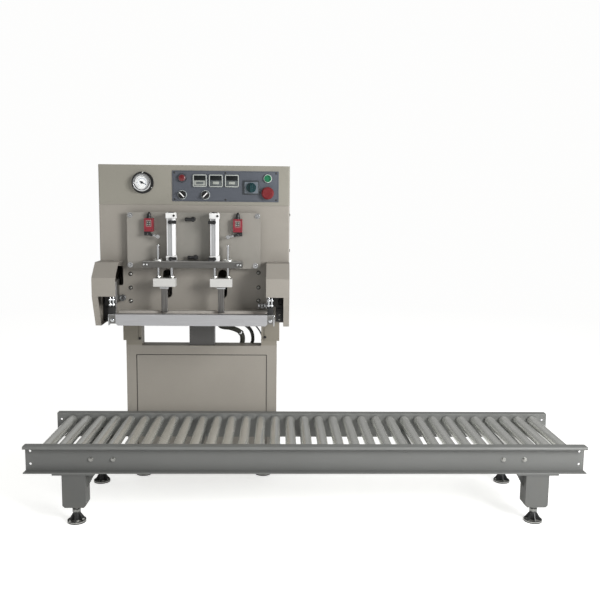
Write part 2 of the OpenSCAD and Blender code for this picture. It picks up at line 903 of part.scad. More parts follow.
module base_cabinet() {
    color("tan") at_cabinet() difference() {
        union() {
            difference() {
                along_x(cabinet_w) polygon(cabinet_outline);
                along_x(cabinet_w - 2 * cabinet_sheet) polygon(inset(cabinet_outline, cabinet_sheet));
                panel_hole(panel_gap, 2 * cabinet_sheet);
            }
            difference() {
                panel_frame();
                panel_hole(-panel_edge, 3 * cabinet_sheet);
            }
            on_both_sides() translate([post_x, post_d / 2, cabinet_top - cabinet_sheet])
                box_tube(post_w, post_d, post_top - cabinet_top + cabinet_sheet, post_wall);
            for (x = [-1, 1], y = [cabinet_foot_in, cabinet_d - cabinet_foot_in])
                translate([x * (cabinet_w / 2 - cabinet_foot_in), y, foot_h + leg_sole / 2])
                    cube([sole_w, sole_w, leg_sole], center = true);
            for (i = [0 : 2]) translate([hose_foot_x[i], hose_y, deck_z - cabinet_sheet])
                cylinder(d = hose_sizes[i] + 2 * collar_wall, h = collar_h + cabinet_sheet);
            back_port(inlet_x, inlet_d);
            back_port(gland_x, gland_d);
        }
        for (i = [0 : 2]) translate([hose_foot_x[i], hose_y, deck_z]) {
            cylinder(d = hose_sizes[i] + 2 * hose_seat_gap, h = collar_h + over);
            translate([0, 0, -over]) cylinder(d = hose_sizes[i] / 2, h = 2 * over);
        }
        translate([0, column_y, cabinet_top])
            cube([column_w - 2 * column_wall, column_d - 2 * column_wall, 2 * over], center = true);
        for (x = [-1, 1], y = [cabinet_foot_in, cabinet_d - cabinet_foot_in])
            translate([x * (cabinet_w / 2 - cabinet_foot_in), y, foot_h - over])
                cylinder(d = stud_d + 2 * stud_gap, h = leg_sole + 2 * over);
        translate([inlet_x, cabinet_d + over, deck_z - port_down]) rod_front(inlet_d, port_l + 2 * over);
        translate([gland_x, cabinet_d + over, deck_z - port_down]) rod_front(gland_d, port_l + 2 * over);
        louvres();
    }
}

module panel_frame() {
    translate([0, 2 * cabinet_sheet, panel_low + panel_h / 2]) to_front(cabinet_sheet)
        square([panel_w + 2 * panel_edge, panel_h + 2 * panel_edge], center = true);
}

module access_panel() {
    color("tan") at_cabinet()
        translate([0, cabinet_sheet - panel_seat, panel_low + panel_h / 2])
            to_front(cabinet_sheet - panel_seat) square([panel_w, panel_h], center = true);
}

// Pump on the cabinet's floor: a motor with its fan cover, the pump block and an oil filter
module vacuum_pump() {
    motor_l = pump_l * (motor_share + fan_share);
    filter_z = pump_axis_h + pump_d * filter_share;
    color("slategray") at_cabinet()
        translate([-pump_l / 2, cabinet_d / 2, foot_h + cabinet_sheet]) {
            translate([0, 0, pump_axis_h]) rotate([0, 90, 0]) {
                cylinder(d = pump_d - 2 * fin_h, h = motor_l);
                cylinder(d = pump_d, h = pump_l * fan_share);
                for (i = [1 : fin_count])
                    translate([0, 0, pump_l * (fan_share + motor_share * i / fin_count) - fin_t])
                        cylinder(d = pump_d, h = fin_t);
            }
            translate([motor_l, -pump_d / 2, pump_block_up])
                cube([pump_l * pump_block_share, pump_d, filter_z]);
            translate([pump_l * (1 - filter_share), 0, filter_z])
                cylinder(d = pump_d * motor_share, h = pump_d * motor_share);
            for (x = [pump_l * filter_share, pump_l * (1 - filter_share)])
                translate([x, 0, pump_axis_h / 2])
                    cube([pump_foot_w, pump_d, pump_axis_h], center = true);
        }
}

module lift_column() {
    color("dimgray") at_cabinet() translate([0, column_y, cabinet_top])
        box_tube(column_w, column_d, head_low - column_top_gap - cabinet_top, column_wall);
}

// A hose whose middle follows a smooth curve from the head down to the deck
function curve(a, b, c, d, t) =
    pow(1 - t, 3) * a + 3 * pow(1 - t, 2) * t * b + 3 * (1 - t) * t * t * c + pow(t, 3) * d;
function curve_turn(a, b, c, d, t) =
    unit(pow(1 - t, 2) * (b - a) + 2 * (1 - t) * t * (c - b) + t * t * (d - c));
function ring_points(middle, along, r, sides) = [
    for (i = [0 : sides - 1])
        let (angle = 360 * i / sides)
        [
            middle[0] + r * cos(angle) * -along[1],
            r * sin(angle),
            middle[1] + r * cos(angle) * along[0]
        ]
];
function band_faces(a, b, sides) = [
    for (i = [0 : sides - 1]) let (j = (i + 1) % sides) each [
        [a * sides + i, b * sides + j, b * sides + i],
        [a * sides + i, a * sides + j, b * sides + j]
    ]
];

// The four points that draw the curve from the deck at one x to the head at another
function hose_line(foot_x, head_x) =
    let (top = head_low - hose_head_gap - deck_z, pull = top * hose_pull_share)
    [[foot_x, 0], [foot_x, pull], [head_x, top - pull], [head_x, top]];
function hose_ring(line, t, r) = ring_points(
    curve(line[0], line[1], line[2], line[3], t),
    curve_turn(line[0], line[1], line[2], line[3], t),
    r,
    hose_sides
);

// Ribs are pairs of rings, a high one and a low one; the bore's rings come back inside
module ribbed_hose(foot_x, head_x, d) {
    line = hose_line(foot_x, head_x);
    outer = [
        for (i = [0 : 2 * hose_ribs]) hose_ring(line, i / (2 * hose_ribs), d / 2 - (i % 2) * rib_h)
    ];
    bore = [
        for (i = [bore_steps : -1 : 0]) hose_ring(line, i / bore_steps, d / 2 - rib_h - hose_wall)
    ];
    rings = concat(outer, bore);
    count = len(rings);
    polyhedron(
        [for (ring = rings) each ring],
        [for (i = [0 : count - 1]) each band_faces(i, (i + 1) % count, hose_sides)]
    );
}

module plain_tube(foot_x, head_x, d) {
    line = hose_line(foot_x, head_x);
    ends = [
        [for (i = [hose_sides - 1 : -1 : 0]) i],
        [for (i = [0 : hose_sides - 1]) tube_steps * hose_sides + i]
    ];
    polyhedron(
        [for (i = [0 : tube_steps]) each hose_ring(line, i / tube_steps, d / 2)],
        concat(ends, [for (i = [0 : tube_steps - 1]) each band_faces(i, i + 1, hose_sides)])
    );
}

module vacuum_hoses() {
    color("dimgray") at_cabinet() translate([0, hose_y, deck_z]) {
        for (i = [0, 1]) ribbed_hose(hose_foot_x[i], hose_head_x[i], hose_sizes[i]);
        plain_tube(hose_foot_x[2], hose_head_x[2], hose_sizes[2]);
    }
}

// Head casing: a folded shell with round front edges
module shell_outline(w, d, bend) {
    translate([0, d / 2 + bend / 2]) square([w, d - bend], center = true);
    translate([0, d / 2]) square([w - 2 * bend, d], center = true);
    for (x = [-1, 1]) translate([x * (w / 2 - bend), bend]) circle(bend);
}

module suction_slot() {
    low = suction_z - nozzle_down - suction_d / 2 - slot_gap;
    high = suction_z + nozzle_up + suction_d / 2 + slot_gap;
    translate([0, head_sheet + over, (low + high) / 2]) to_front(head_sheet + 2 * over)
        rounded(slot_w, high - low, slot_w * round_share);
}

module sleeve() {
    pad_x = cabinet_w / 2 + slide_gap;
    outer_x = pad_x + slide_pad_t + sleeve_wall;
    low = head_low - sleeve_l;
    translate([outer_x - sleeve_wall, -slide_gap - sleeve_wall, low])
        cube([sleeve_wall, post_d + 2 * (slide_gap + sleeve_wall), sleeve_l + head_sheet]);
    translate([pad_x, 0, low]) cube([slide_pad_t, post_d, sleeve_l + head_sheet]);
    for (y = [-slide_gap - sleeve_wall, post_d + slide_gap])
        translate([outer_x - sleeve_w, y, low])
            cube([sleeve_w, sleeve_wall, sleeve_l + head_sheet]);
}

module head_housing() {
    color("tan") at_face() difference() {
        union() {
            difference() {
                translate([0, 0, head_low]) linear_extrude(head_h)
                    shell_outline(head_w, head_d, sheet_bend);
                translate([0, head_sheet, head_low + head_sheet])
                    linear_extrude(head_h - 2 * head_sheet)
                        shell_outline(
                            head_w - 2 * head_sheet,
                            head_d - 2 * head_sheet,
                            sheet_bend - head_sheet
                        );
                on_both_sides() translate([post_x, head_over + post_d / 2, head_low])
                    cube(
                        [post_w + 2 * post_hole_gap, post_d + 2 * post_hole_gap, 4 * over],
                        center = true
                    );
            }
            translate([0, head_over, 0]) {
                for (i = [0 : 2]) translate([hose_head_x[i], hose_y, head_low - collar_h])
                    cylinder(d = hose_sizes[i] + 2 * collar_wall, h = collar_h + head_sheet);
                on_both_sides() sleeve();
                translate([0, column_y, head_low - ram_l])
                    box_tube(ram_w, ram_d, ram_l + head_sheet, column_wall);
            }
        }
        for (i = [0 : 2]) translate([hose_head_x[i], head_over + hose_y, head_low]) {
            translate([0, 0, -collar_h - over])
                cylinder(d = hose_sizes[i] + 2 * hose_seat_gap, h = collar_h + over);
            translate([0, 0, -over]) cylinder(d = hose_sizes[i] / 2, h = 2 * over);
        }
        on_both_sides() {
            translate([nozzle_x, 0, 0]) suction_slot();
            translate([side_slot_x, head_sheet + over, head_low + side_slot_up + side_slot_h / 2])
                to_front(head_sheet + 2 * over)
                    rounded(side_slot_w, side_slot_h, side_slot_w / 4);
        }
        translate([control_x, head_sheet + over, control_z]) to_front(head_sheet + 2 * over)
            square([control_w - 2 * control_margin, control_h - 2 * control_margin], center = true);
        translate([0, 0, head_top - seam_down - seam_h / 2]) linear_extrude(seam_h) difference() {
            translate([0, head_d / 2]) square([head_w + over, head_d + over], center = true);
            translate([0, seam_d]) shell_outline(head_w - 2 * seam_d, head_d, sheet_bend);
        }
    }
}

// Side covers: bent round the ends of the jaws, open below at the front and towards the middle
module side_cover() {
    wall = inset(cover_outline, cover_sheet);
    inside = concat(
        [[over, head_low + cover_sheet], [over, head_low + cover_h - cover_sheet]],
        [for (i = [2 : 5]) wall[i]]
    );
    translate([(head_w - cover_w) / 2, 0, 0]) difference() {
        along_x(cover_w) polygon(cover_outline);
        translate([-cover_sheet, 0, 0]) along_x(cover_w) polygon(inside);
        translate([-cover_lip, 0, 0]) along_x(cover_w) polygon([
            [over, head_low - over],
            [over, cover_open_z],
            [-cover_out - over, cover_open_z],
            [-cover_out - over, head_low - over]
        ]);
    }
}

module side_covers() {
    color("tan") at_face() on_both_sides() side_cover();
}

// Plate on spacers with the cross bar, which guides the rods
module cylinder_plate() {
    color("gray") at_face() difference() {
        union() {
            translate([0, plate_front + plate_t, plate_z + plate_h / 2]) to_front(plate_t)
                square([plate_w, plate_h], center = true);
            for (x = [-1, 1], z = [spacer_in, plate_h - spacer_in])
                translate([x * (plate_w / 2 - spacer_in), 0, plate_z + z])
                    rod_front(spacer_d, spacer_l);
            translate([0, plate_front + plate_t, bar_z + bar_h / 2]) to_front(bar_d + plate_t)
                square([bar_l, bar_h], center = true);
            on_both_sides() translate([guide_x, cyl_y, bar_top - bush_t])
                cylinder(d = bush_d, h = 2 * bush_t);
        }
        on_both_sides() {
            translate([guide_x, cyl_y, bar_z - over])
                cylinder(d = guide_rod_d + 2 * rod_fit, h = bar_h + bush_t + 2 * over);
            translate([cyl_x, cyl_y, bar_z - over])
                cylinder(d = piston_rod_d + 2 * bar_rod_gap, h = bar_h + 2 * over);
        }
    }
}

module nozzle_cylinder() {
    difference() {
        union() {
            for (z = [bar_top, bar_top + cyl_h - cap_h])
                translate([0, 0, z + cap_h / 2]) cube([cap_w, cap_w, cap_h], center = true);
            translate([0, 0, bar_top]) cylinder(d = barrel_d, h = cyl_h);
        }
        translate([0, 0, bore_low]) cylinder(d = barrel_bore, h = bore_high - bore_low);
        translate([0, 0, bar_top - over])
            cylinder(d = piston_rod_d + 2 * rod_fit, h = bore_low - bar_top + 2 * over);
    }
    for (z = [bar_top + elbow_up, bar_top + cyl_h - elbow_down])
        translate([0, 0, z]) port_elbow();
}

// Push-in elbow on the front of a cylinder, turned towards the middle
module port_elbow() {
    translate([0, -(barrel_d + barrel_bore) / 4, 0]) {
        rod_front(elbow_neck_d, elbow_out);
        translate([elbow_d / 2, -elbow_out, 0]) rotate([0, -90, 0])
            cylinder(d = elbow_d, h = elbow_l);
    }
}

module union_elbow(i, z) {
    translate([union_x[i], plate_front, z]) {
        rod_front(elbow_neck_d, elbow_out);
        translate([-elbow_l, -elbow_out, 0]) rotate([0, 90, 0]) cylinder(d = elbow_d, h = 2 * elbow_l);
    }
}

module jaw_cylinder() {
    difference() {
        translate([jaw_axis_x, 0, jaw_axis_z]) to_front(jaw_cyl_l)
            square([jaw_cyl_w, jaw_cyl_h], center = true);
        for (z = [-1, 1]) translate([jaw_axis_x, -bore_end, jaw_axis_z + z * jaw_rod_pitch])
            rod_front(jaw_rod_d + 2 * rod_fit, jaw_cyl_l);
        translate([jaw_axis_x, -bore_end, jaw_axis_z])
            rod_front(jaw_piston_d + 2 * rod_fit, jaw_cyl_l);
    }
}

module air_cylinders() {
    color("silver") at_face() {
        on_both_sides() {
            translate([cyl_x, cyl_y, 0]) nozzle_cylinder();
            jaw_cylinder();
        }
        union_elbow(0, bar_top + elbow_up);
        union_elbow(1, bar_top + cyl_h - elbow_down);
    }
}

// Jaws: the rear one is fixed to the face, the front one slides back to it
module rear_jaw() {
    color("gainsboro") at_face() {
        translate([0, -rear_jaw_out + rear_jaw_d, rear_jaw_z + rear_jaw_h / 2]) to_front(rear_jaw_d)
            square([jaw_l, rear_jaw_h], center = true);
        translate([0, 0, rear_jaw_z + rear_jaw_h / 2])
            to_front(rear_jaw_out - rear_jaw_d + over)
                square([jaw_l - 2 * beam_in, beam_h], center = true);
    }
}

module front_jaw() {
    color("gainsboro") at_face() {
        translate([0, jaw_back, jaw_z]) to_front(jaw_d) polygon([
            [-jaw_l / 2 + jaw_bevel, 0],
            [jaw_l / 2 - jaw_bevel, 0],
            [jaw_l / 2, jaw_bevel],
            [jaw_l / 2, jaw_h],
            [-jaw_l / 2, jaw_h],
            [-jaw_l / 2, jaw_bevel]
        ]);
        translate([0, jaw_back + strip_out, jaw_z + jaw_h / 2]) to_front(strip_out + strip_in)
            square([jaw_l - 2 * jaw_bevel, strip_h], center = true);
        on_both_sides() jaw_arm();
    }
}

// End bracket, arm and yoke, with the rods that slide in the jaw's cylinder
module jaw_arm() {
    translate([jaw_l / 2 - arm_in, jaw_back - jaw_d, jaw_z + jaw_bevel])
        cube([arm_w + arm_in, jaw_d, jaw_h - jaw_bevel]);
    translate([jaw_l / 2, jaw_y - arm_t / 2, jaw_top - arm_in])
        cube([arm_w, arm_t, yoke_low - jaw_top + 2 * arm_in]);
    translate([jaw_axis_x, jaw_y + arm_t / 2, jaw_axis_z]) to_front(arm_t)
        square([yoke_w, yoke_h], center = true);
    for (z = [-1, 1]) translate([jaw_axis_x, jaw_y, jaw_axis_z + z * jaw_rod_pitch])
        rod_back(jaw_rod_d, rod_reach);
    translate([jaw_axis_x, jaw_y, jaw_axis_z]) rod_back(jaw_piston_d, rod_reach);
}

// Nozzles: a block on a piston rod and a guide rod, with the flat nozzle below it
module nozzle() {
    difference() {
        union() {
            translate([nozzle_x, block_y, suction_z])
                cube([block_w, block_d, block_h], center = true);
            translate([nozzle_x, duct_y, duct_tip]) linear_extrude(block_z - duct_tip + over)
                rounded(duct_w, duct_t, duct_t * round_share);
            translate([cyl_x, cyl_y, block_top - over])
                cylinder(d = piston_rod_d, h = piston_z - block_top + over);
            translate([cyl_x, cyl_y, piston_z])
                cylinder(d = barrel_bore - 2 * rod_fit, h = piston_t);
            translate([guide_x, cyl_y, block_top - over])
                cylinder(d = guide_rod_d, h = guide_top - block_top + over);
            translate([nozzle_x, suction_in, suction_z])
                rod_front(suction_d, suction_in - block_y);
        }
        translate([nozzle_x, duct_y, duct_tip - over])
            linear_extrude(suction_z - duct_tip + over) rounded(
                duct_w - 2 * duct_wall,
                duct_t - 2 * duct_wall,
                (duct_t - 2 * duct_wall) * round_share
            );
        translate([nozzle_x, suction_in + over, suction_z])
            rod_front(suction_d - 2 * pipe_wall, suction_in + over - duct_y);
    }
}

module left_nozzle() {
    color("gray") at_face() mirror([1, 0, 0]) nozzle();
}

module right_nozzle() {
    color("gray") at_face() nozzle();
}

// Limit switches over the guide rods
module limit_switch() {
    turret_x = switch_x + (switch_w - turret_w) / 2;
    difference() {
        union() {
            translate([switch_x, plate_front, switch_z + switch_h / 2]) to_front(switch_d)
                square([switch_w, switch_h], center = true);
            translate([turret_x, plate_front, lever_z]) to_front(switch_d)
                square([turret_w, turret_h], center = true);
            translate([switch_x, plate_front - switch_d / 2, switch_z + switch_h])
                cylinder(d = switch_gland_d, h = switch_gland_h);
        }
        translate([lever_x, plate_front - switch_d + lever_shaft_l, lever_z])
            rod_front(lever_shaft_d + 2 * rod_fit, lever_shaft_l + over);
    }
}

module limit_switches() {
    color("brown") at_face() on_both_sides() limit_switch();
}

module switch_lever() {
    lever_y = plate_front - switch_d - lever_gap;
    translate([lever_x, 0, lever_z]) {
        translate([0, lever_y + lever_shaft_l - over, 0])
            rod_front(lever_shaft_d, lever_shaft_l - over + lever_t);
        translate([0, lever_y, 0]) {
            rod_front(lever_w + lever_t, lever_t);
            translate([lever_run[0], 0, lever_run[1]]) rod_front(lever_w, lever_t);
            to_front(lever_t) rotate(atan2(lever_run[1], lever_run[0])) translate([0, -lever_w / 2])
                square([norm(lever_run), lever_w]);
        }
        translate([lever_run[0], lever_y, lever_run[1]]) rod_front(lever_pin_d, lever_y - cyl_y);
        translate([lever_run[0], cyl_y + lever_roller_t / 2, lever_run[1]])
            rod_front(lever_roller_d, lever_roller_t);
    }
}

module left_switch_lever() {
    color("lightgray") at_face() mirror([1, 0, 0]) switch_lever();
}

module right_switch_lever() {
    color("lightgray") at_face() switch_lever();
}

// Control panel: a plate over the opening in the head's face
module at_panel(x, z) {
    at_face() translate([control_x + x, -control_t, control_z + z]) children();
}

module device_ring(x, z) {
    translate([x, 0, z]) rod_front(ring_d, ring_out);
}

module device_bore(x, z) {
    translate([x, control_t + over, z])
        rod_front(stem_d + 2 * rod_fit, control_t + ring_out + switch_plate_out + 2 * over);
}

module control_panel() {
    color("gainsboro") at_panel(0, 0) difference() {
        union() {
            translate([0, control_t, 0]) to_front(control_t)
                square([control_w, control_h], center = true);
            device_ring(-lamp_left, lamp_up);
            translate([-lamp_left, 0, lamp_up]) rod_front(lamp_d, lamp_out);
            device_ring(-lamp_left, -selector_down);
            device_ring(-lamp_left + selector_pitch, -selector_down);
            device_ring(stop_right, start_up);
            device_ring(stop_right, -stop_down);
            translate([main_right, 0, -main_down]) to_front(switch_plate_out)
                square([switch_plate_w, switch_plate_h], center = true);
            for (i = [0 : 2]) translate([i * meter_pitch - meter_left, 0, meter_up])
                to_front(meter_out) square([meter_w, meter_h], center = true);
        }
        for (i = [0 : 2])
            translate([i * meter_pitch - meter_left, meter_deep - meter_out, meter_up])
                to_front(meter_deep + over)
                    square([meter_w - 2 * meter_frame, meter_h - 2 * meter_frame], center = true);
        device_bore(-lamp_left, -selector_down);
        device_bore(-lamp_left + selector_pitch, -selector_down);
        device_bore(main_right, -main_down);
        device_bore(stop_right, start_up);
        device_bore(stop_right, -stop_down);
        translate([stop_right, 0, start_up]) rod_front(start_d + 2 * knob_gap, ring_out + over);
        translate([stop_right, 0, -stop_down]) rod_front(stop_neck_d + 2 * knob_gap, ring_out + over);
    }
}

// A shaft with the collar that keeps it in the panel, from a cap that stands out
module stem(out) {
    translate([0, stem_in, 0]) rod_front(stem_d, stem_in + out);
    translate([0, control_t + knob_gap + collar_t, 0]) rod_front(collar_d, collar_t);
}

module knob(d, from, out, turn) {
    stem(from + knob_gap + over);
    translate([0, -from - knob_gap, 0]) {
        rod_front(d, (out - knob_gap) * knob_base_share);
        to_front(out - knob_gap) rotate(turn) difference() {
            square([grip_w, d - grip_edge], center = true);
            translate([0, d / 2]) square([grip_edge / 2, d / 2], center = true);
        }
    }
}

module start_button() {
    color("green") at_panel(stop_right, start_up) {
        stem(start_travel + 2 * knob_gap);
        translate([0, -start_travel - knob_gap, 0])
            rod_front(start_d, start_out - start_travel - knob_gap);
    }
}

module emergency_stop() {
    color("red") at_panel(stop_right, -stop_down) {
        stem(stop_travel + knob_gap + over);
        translate([0, -stop_travel - knob_gap, 0]) rod_front(stop_neck_d, ring_out + stop_t / 2);
        translate([0, -ring_out - stop_travel - stop_gap, 0]) rotate([90, 0, 0]) rotate_extrude()
            polygon([
                [0, 0],
                [stop_d / 2 - stop_edge, 0],
                [stop_d / 2, stop_edge],
                [stop_d / 2, stop_t - 2 * stop_edge],
                [stop_d / 2 - 2 * stop_edge, stop_t],
                [0, stop_t]
            ]);
    }
}

module left_selector() {
    color("black") at_panel(-lamp_left, -selector_down)
        knob(selector_d, ring_out, selector_out - ring_out, selector_turn);
}

module right_selector() {
    color("black") at_panel(-lamp_left + selector_pitch, -selector_down)
        knob(selector_d, ring_out, selector_out - ring_out, -selector_turn);
}

module main_switch() {
    color("black") at_panel(main_right, -main_down)
        knob(main_d, switch_plate_out, main_out, 0);
}

// Vacuum gauge, with its needle on a pin in the dial
module at_gauge() {
    at_face() translate([-gauge_x, 0, gauge_z]) children();
}

module vacuum_gauge() {
    color("black") at_gauge() difference() {
        union() {
            rod_front(gauge_flange_d, gauge_flange_t);
            rod_front(gauge_case_d, gauge_out);
        }
        translate([0, dial_in - gauge_out, 0]) rod_front(dial_d, dial_in + over);
        translate([0, dial_in - gauge_out + needle_pin_l, 0])
            rod_front(needle_pin_d + 2 * rod_fit, needle_pin_l + over);
    }
}

module gauge_needle() {
    color("red") at_gauge() translate([0, dial_in - gauge_out, 0]) {
        translate([0, needle_pin_l - needle_gap, 0])
            rod_front(needle_pin_d, needle_pin_l + needle_t);
        translate([0, -needle_gap, 0]) {
            rod_front(needle_hub_d, 2 * needle_t);
            to_front(needle_t) rotate(needle_turn) polygon([
                [-needle_hub_d, -needle_w / 2],
                [0, -needle_w / 2],
                [needle_l, -needle_t / 4],
                [needle_l, needle_t / 4],
                [0, needle_w / 2],
                [-needle_hub_d, needle_w / 2]
            ]);
        }
    }
}

conveyor_frame();
roller_axles();
levelling_feet();
base_cabinet();
access_panel();
vacuum_pump();
lift_column();
vacuum_hoses();
head_housing();
side_covers();
cylinder_plate();
air_cylinders();
rear_jaw();
front_jaw();
left_nozzle();
right_nozzle();
limit_switches();
left_switch_lever();
right_switch_lever();
control_panel();
start_button();
emergency_stop();
left_selector();
right_selector();
main_switch();
vacuum_gauge();
gauge_needle();
for (i = [0 : roller_count - 1]) roller(i);
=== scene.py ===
import math

import bmesh
import bpy
from bpy.props import BoolProperty, FloatProperty, FloatVectorProperty, IntProperty, PointerProperty
from mathutils import Matrix, Vector


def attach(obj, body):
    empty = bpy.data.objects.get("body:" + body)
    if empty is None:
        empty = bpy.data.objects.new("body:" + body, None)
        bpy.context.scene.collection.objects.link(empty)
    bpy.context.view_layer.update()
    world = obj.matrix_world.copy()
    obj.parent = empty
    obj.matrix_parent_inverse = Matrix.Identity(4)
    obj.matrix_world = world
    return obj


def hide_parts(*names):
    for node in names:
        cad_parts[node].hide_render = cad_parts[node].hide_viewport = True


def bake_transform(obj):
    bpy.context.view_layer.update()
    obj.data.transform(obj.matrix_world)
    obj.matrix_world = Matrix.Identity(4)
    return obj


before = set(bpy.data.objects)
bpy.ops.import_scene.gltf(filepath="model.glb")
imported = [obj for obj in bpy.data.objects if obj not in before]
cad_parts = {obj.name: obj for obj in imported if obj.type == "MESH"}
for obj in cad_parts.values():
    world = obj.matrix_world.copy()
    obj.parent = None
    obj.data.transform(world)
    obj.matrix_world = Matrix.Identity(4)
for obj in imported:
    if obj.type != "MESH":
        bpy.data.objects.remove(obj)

bl_info = {
    "name": "Bag Sealing Machine",
    "version": (1, 0, 0),
    "blender": (4, 5, 0),
    "location": "3D View > Sidebar > Sealer",
    "description": "Finishes and small parts for a vacuum bag sealing machine with a roller conveyor",
    "category": "Object",
}

# ---------------------------------------------------------------------------
# Places from the CAD, in millimetres. X runs along the conveyor and Z is up.
# ---------------------------------------------------------------------------
MM = 0.001
MIDDLE_X = -536.0
FACE_Y = -216.85
CABINET_Y = 73.15
CONVEYOR_Y = -225.15
HEAD_LOW = 888.0
SEAM_Z = 1446.5
DECK_Z = 640.0
SLEEVE_BACK = -4.5
# The gap round the access panel: width, height and middle
PANEL_GAP = (675.0, 560.0, 388.5)

PANEL_X, PANEL_Z, PANEL_OUT = 146.0, 1534.5, 3.0
LAMP_X, LAMP_UP = -203, 37
# Name, place along the panel and turn in degrees
SELECTORS = (("left_selector", -203, 45), ("right_selector", -94, -45))
SELECTOR_UP = -41
START_X, START_UP = 198, 38
GAUGE_X, GAUGE_Z = -241.0, 1548.0

PLATE_OUT = 35.0
BAR_TOP = 1188.0
BAR_OUT = 110.2
CYLINDER_X, CYLINDER_OUT = 100.0, 75.0
GUIDE_X = 162.0
NOZZLE_TOP = 1108.0
SWITCH_X, SWITCH_Z, SWITCH_OUT = 206.0, 1360.0, 65.0
LEVER_X, LEVER_Z, LEVER_OUT = 216.5, 1313.0, 68.2
JAW_Z, JAW_OUT, HANGER_X = 921.0, 161.5, 361.0
JAW_CYLINDER_Z = 1040.0
BOTH_SIDES = (-1, 1)

# The conveyor's bolts: the outer face of a rail's web, its lower flange and the middle of a leg's plate
WEB_OUT, FLANGE_Z, LEG_X = 257.0, 234.0, 1057.0
WASHER = 1.6

# The camera of the photo: turns in degrees, place, and focal length in pixels of the photo's width
CAMERA_TURN = (-1.658, 7.413, 0.604)
CAMERA_AT = (-139.5, -3845.9, 1470.6)
FOCAL_PIXELS, PHOTO_PIXELS, SENSOR = 761.77, 600.0, 36.0
BACKDROP = (0.985, 0.985, 0.98)

# The hoses' plane behind the cabinet's front, and X and height of the points on each one's way down
HOSE_BACK = 118.0
HOSE_STEPS = 60
HOSE_ROUTES = {
    "suction_hose": ((70, HEAD_LOW), (72, 842), (92, 802), (148, 792), (198, 766), (206, 716), (180, 666),
                     (175, DECK_Z)),
    "cable_conduit": ((150, HEAD_LOW), (160, 850), (204, 822), (250, 782), (262, 728), (242, 680), (233, DECK_Z)),
    "air_tube": ((205, HEAD_LOW), (222, 842), (268, 814), (306, 762), (316, 700), (314, DECK_Z)),
}
# A rib: share of the pitch, and how far the surface lies below the crest there
RIB = ((0.0, 1.6), (0.22, 1.6), (0.38, 0.0), (0.72, 0.0), (0.88, 1.6))

# Elbows: nut across flats and its edge, barrel's diameter and length, how far out the body stands, its profile
ELBOW = (14, 0.4, 18.5, 18, 15, (
    (0, 0), (7.4, 0), (7.4, 18), (8.2, 18.8), (8.2, 25.5), (6.6, 26.8), (4.5, 26.8), (4.5, 24.5), (0, 24.5)))
UNION = (22, 0.6, 19, 22, 20, (
    (0, 0), (8, 0), (8, 22), (9, 23), (9, 34.5), (7.2, 36), (4.8, 36), (4.8, 33), (0, 33)))

TO_FRONT = Vector((0.0, -1.0, 0.0))
UP = Vector((0.0, 0.0, 1.0))
TO_RIGHT = Vector((1.0, 0.0, 0.0))
HEAD = "head"
STAND = "stand"

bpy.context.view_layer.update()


def at(x, y, z):
    """A point in metres from one in millimetres."""
    return Vector((x, y, z)) * MM


def on_face(x, out, z):
    """A point in front of the head's face: x from the machine's middle, out towards the operator."""
    return at(MIDDLE_X + x, FACE_Y - out, z)


def on_panel(x, out, up):
    """A point in front of the control panel, from the panel's middle."""
    return on_face(PANEL_X + x, PANEL_OUT + out, PANEL_Z + up)


def on_cabinet(x, back, z):
    """A point behind the plane of the cabinet's front."""
    return at(MIDDLE_X + x, CABINET_Y + back, z)


def srgb(red, green, blue):
    """A screen colour from 0 to 255 as the linear colour that Blender works in."""
    def linear(v):
        v /= 255.0
        return v / 12.92 if v <= 0.04045 else ((v + 0.055) / 1.055) ** 2.4
    return (linear(red), linear(green), linear(blue))


def lighter(colour, share):
    return tuple(min(1.0, c * share) for c in colour)


# ---------------------------------------------------------------------------
# Sizes and colours that a user would change
# ---------------------------------------------------------------------------
def colour_property(name, description, *shade):
    return FloatVectorProperty(name=name, description=description, subtype="COLOR", size=3, min=0.0, max=1.0,
                               default=srgb(*shade))


def length_property(name, description, default):
    return FloatProperty(name=name, description=description, unit="LENGTH", min=0.0, precision=4, default=default)


class SealerColours(bpy.types.PropertyGroup):
    """Colours of the machine's finishes"""

    enamel: colour_property("Enamel", "Warm grey enamel of the head, covers and cabinet", 147, 142, 134)
    frame_paint: colour_property("Frame paint", "Grey paint of the conveyor frame", 110, 111, 109)
    column_paint: colour_property("Column paint", "Dark paint of the lift column", 88, 87, 86)
    panel_silver: colour_property("Panel silver", "Brushed plate that carries the controls", 84, 88, 96)
    switch_red: colour_property("Switch red", "Moulded bodies of the limit switches", 132, 30, 44)
    stop_red: colour_property("Stop red", "Mushroom of the emergency stop", 108, 18, 24)
    start_green: colour_property("Start green", "Cap of the start button", 20, 112, 74)
    block_white: colour_property("Nozzle white", "Moulded blocks that carry the nozzles", 194, 193, 190)
    hose_olive: colour_property("Hose olive", "Ribbed hoses behind the column", 70, 70, 62)


class SealerSizes(bpy.types.PropertyGroup):
    """Sizes of the small parts that the scene adds"""

    hose_d: length_property("Suction hose", "Outer diameter of the large ribbed hose", 0.028)
    conduit_d: length_property("Conduit", "Outer diameter of the small ribbed hose", 0.020)
    tube_d: length_property("Air tube", "Outer diameter of the thin air tube", 0.008)
    rib_pitch: length_property("Rib pitch", "Distance from one hose rib to the next", 0.0052)
    bolt_d: length_property("Plate bolts", "Washer diameter of the bolts in the cylinder plate", 0.025)
    tick_count: IntProperty(name="Dial ticks", description="Number of marks on the gauge's dial",
                            min=11, max=61, default=31)
    show_floor: BoolProperty(name="Floor", description="Add the pale studio floor", default=True)


def colours():
    return bpy.context.scene.sealer_colours


def sizes():
    return bpy.context.scene.sealer_sizes


# ---------------------------------------------------------------------------
# Finishes: one node tree each, on Object coordinates in metres
# ---------------------------------------------------------------------------
FINISHES = {}


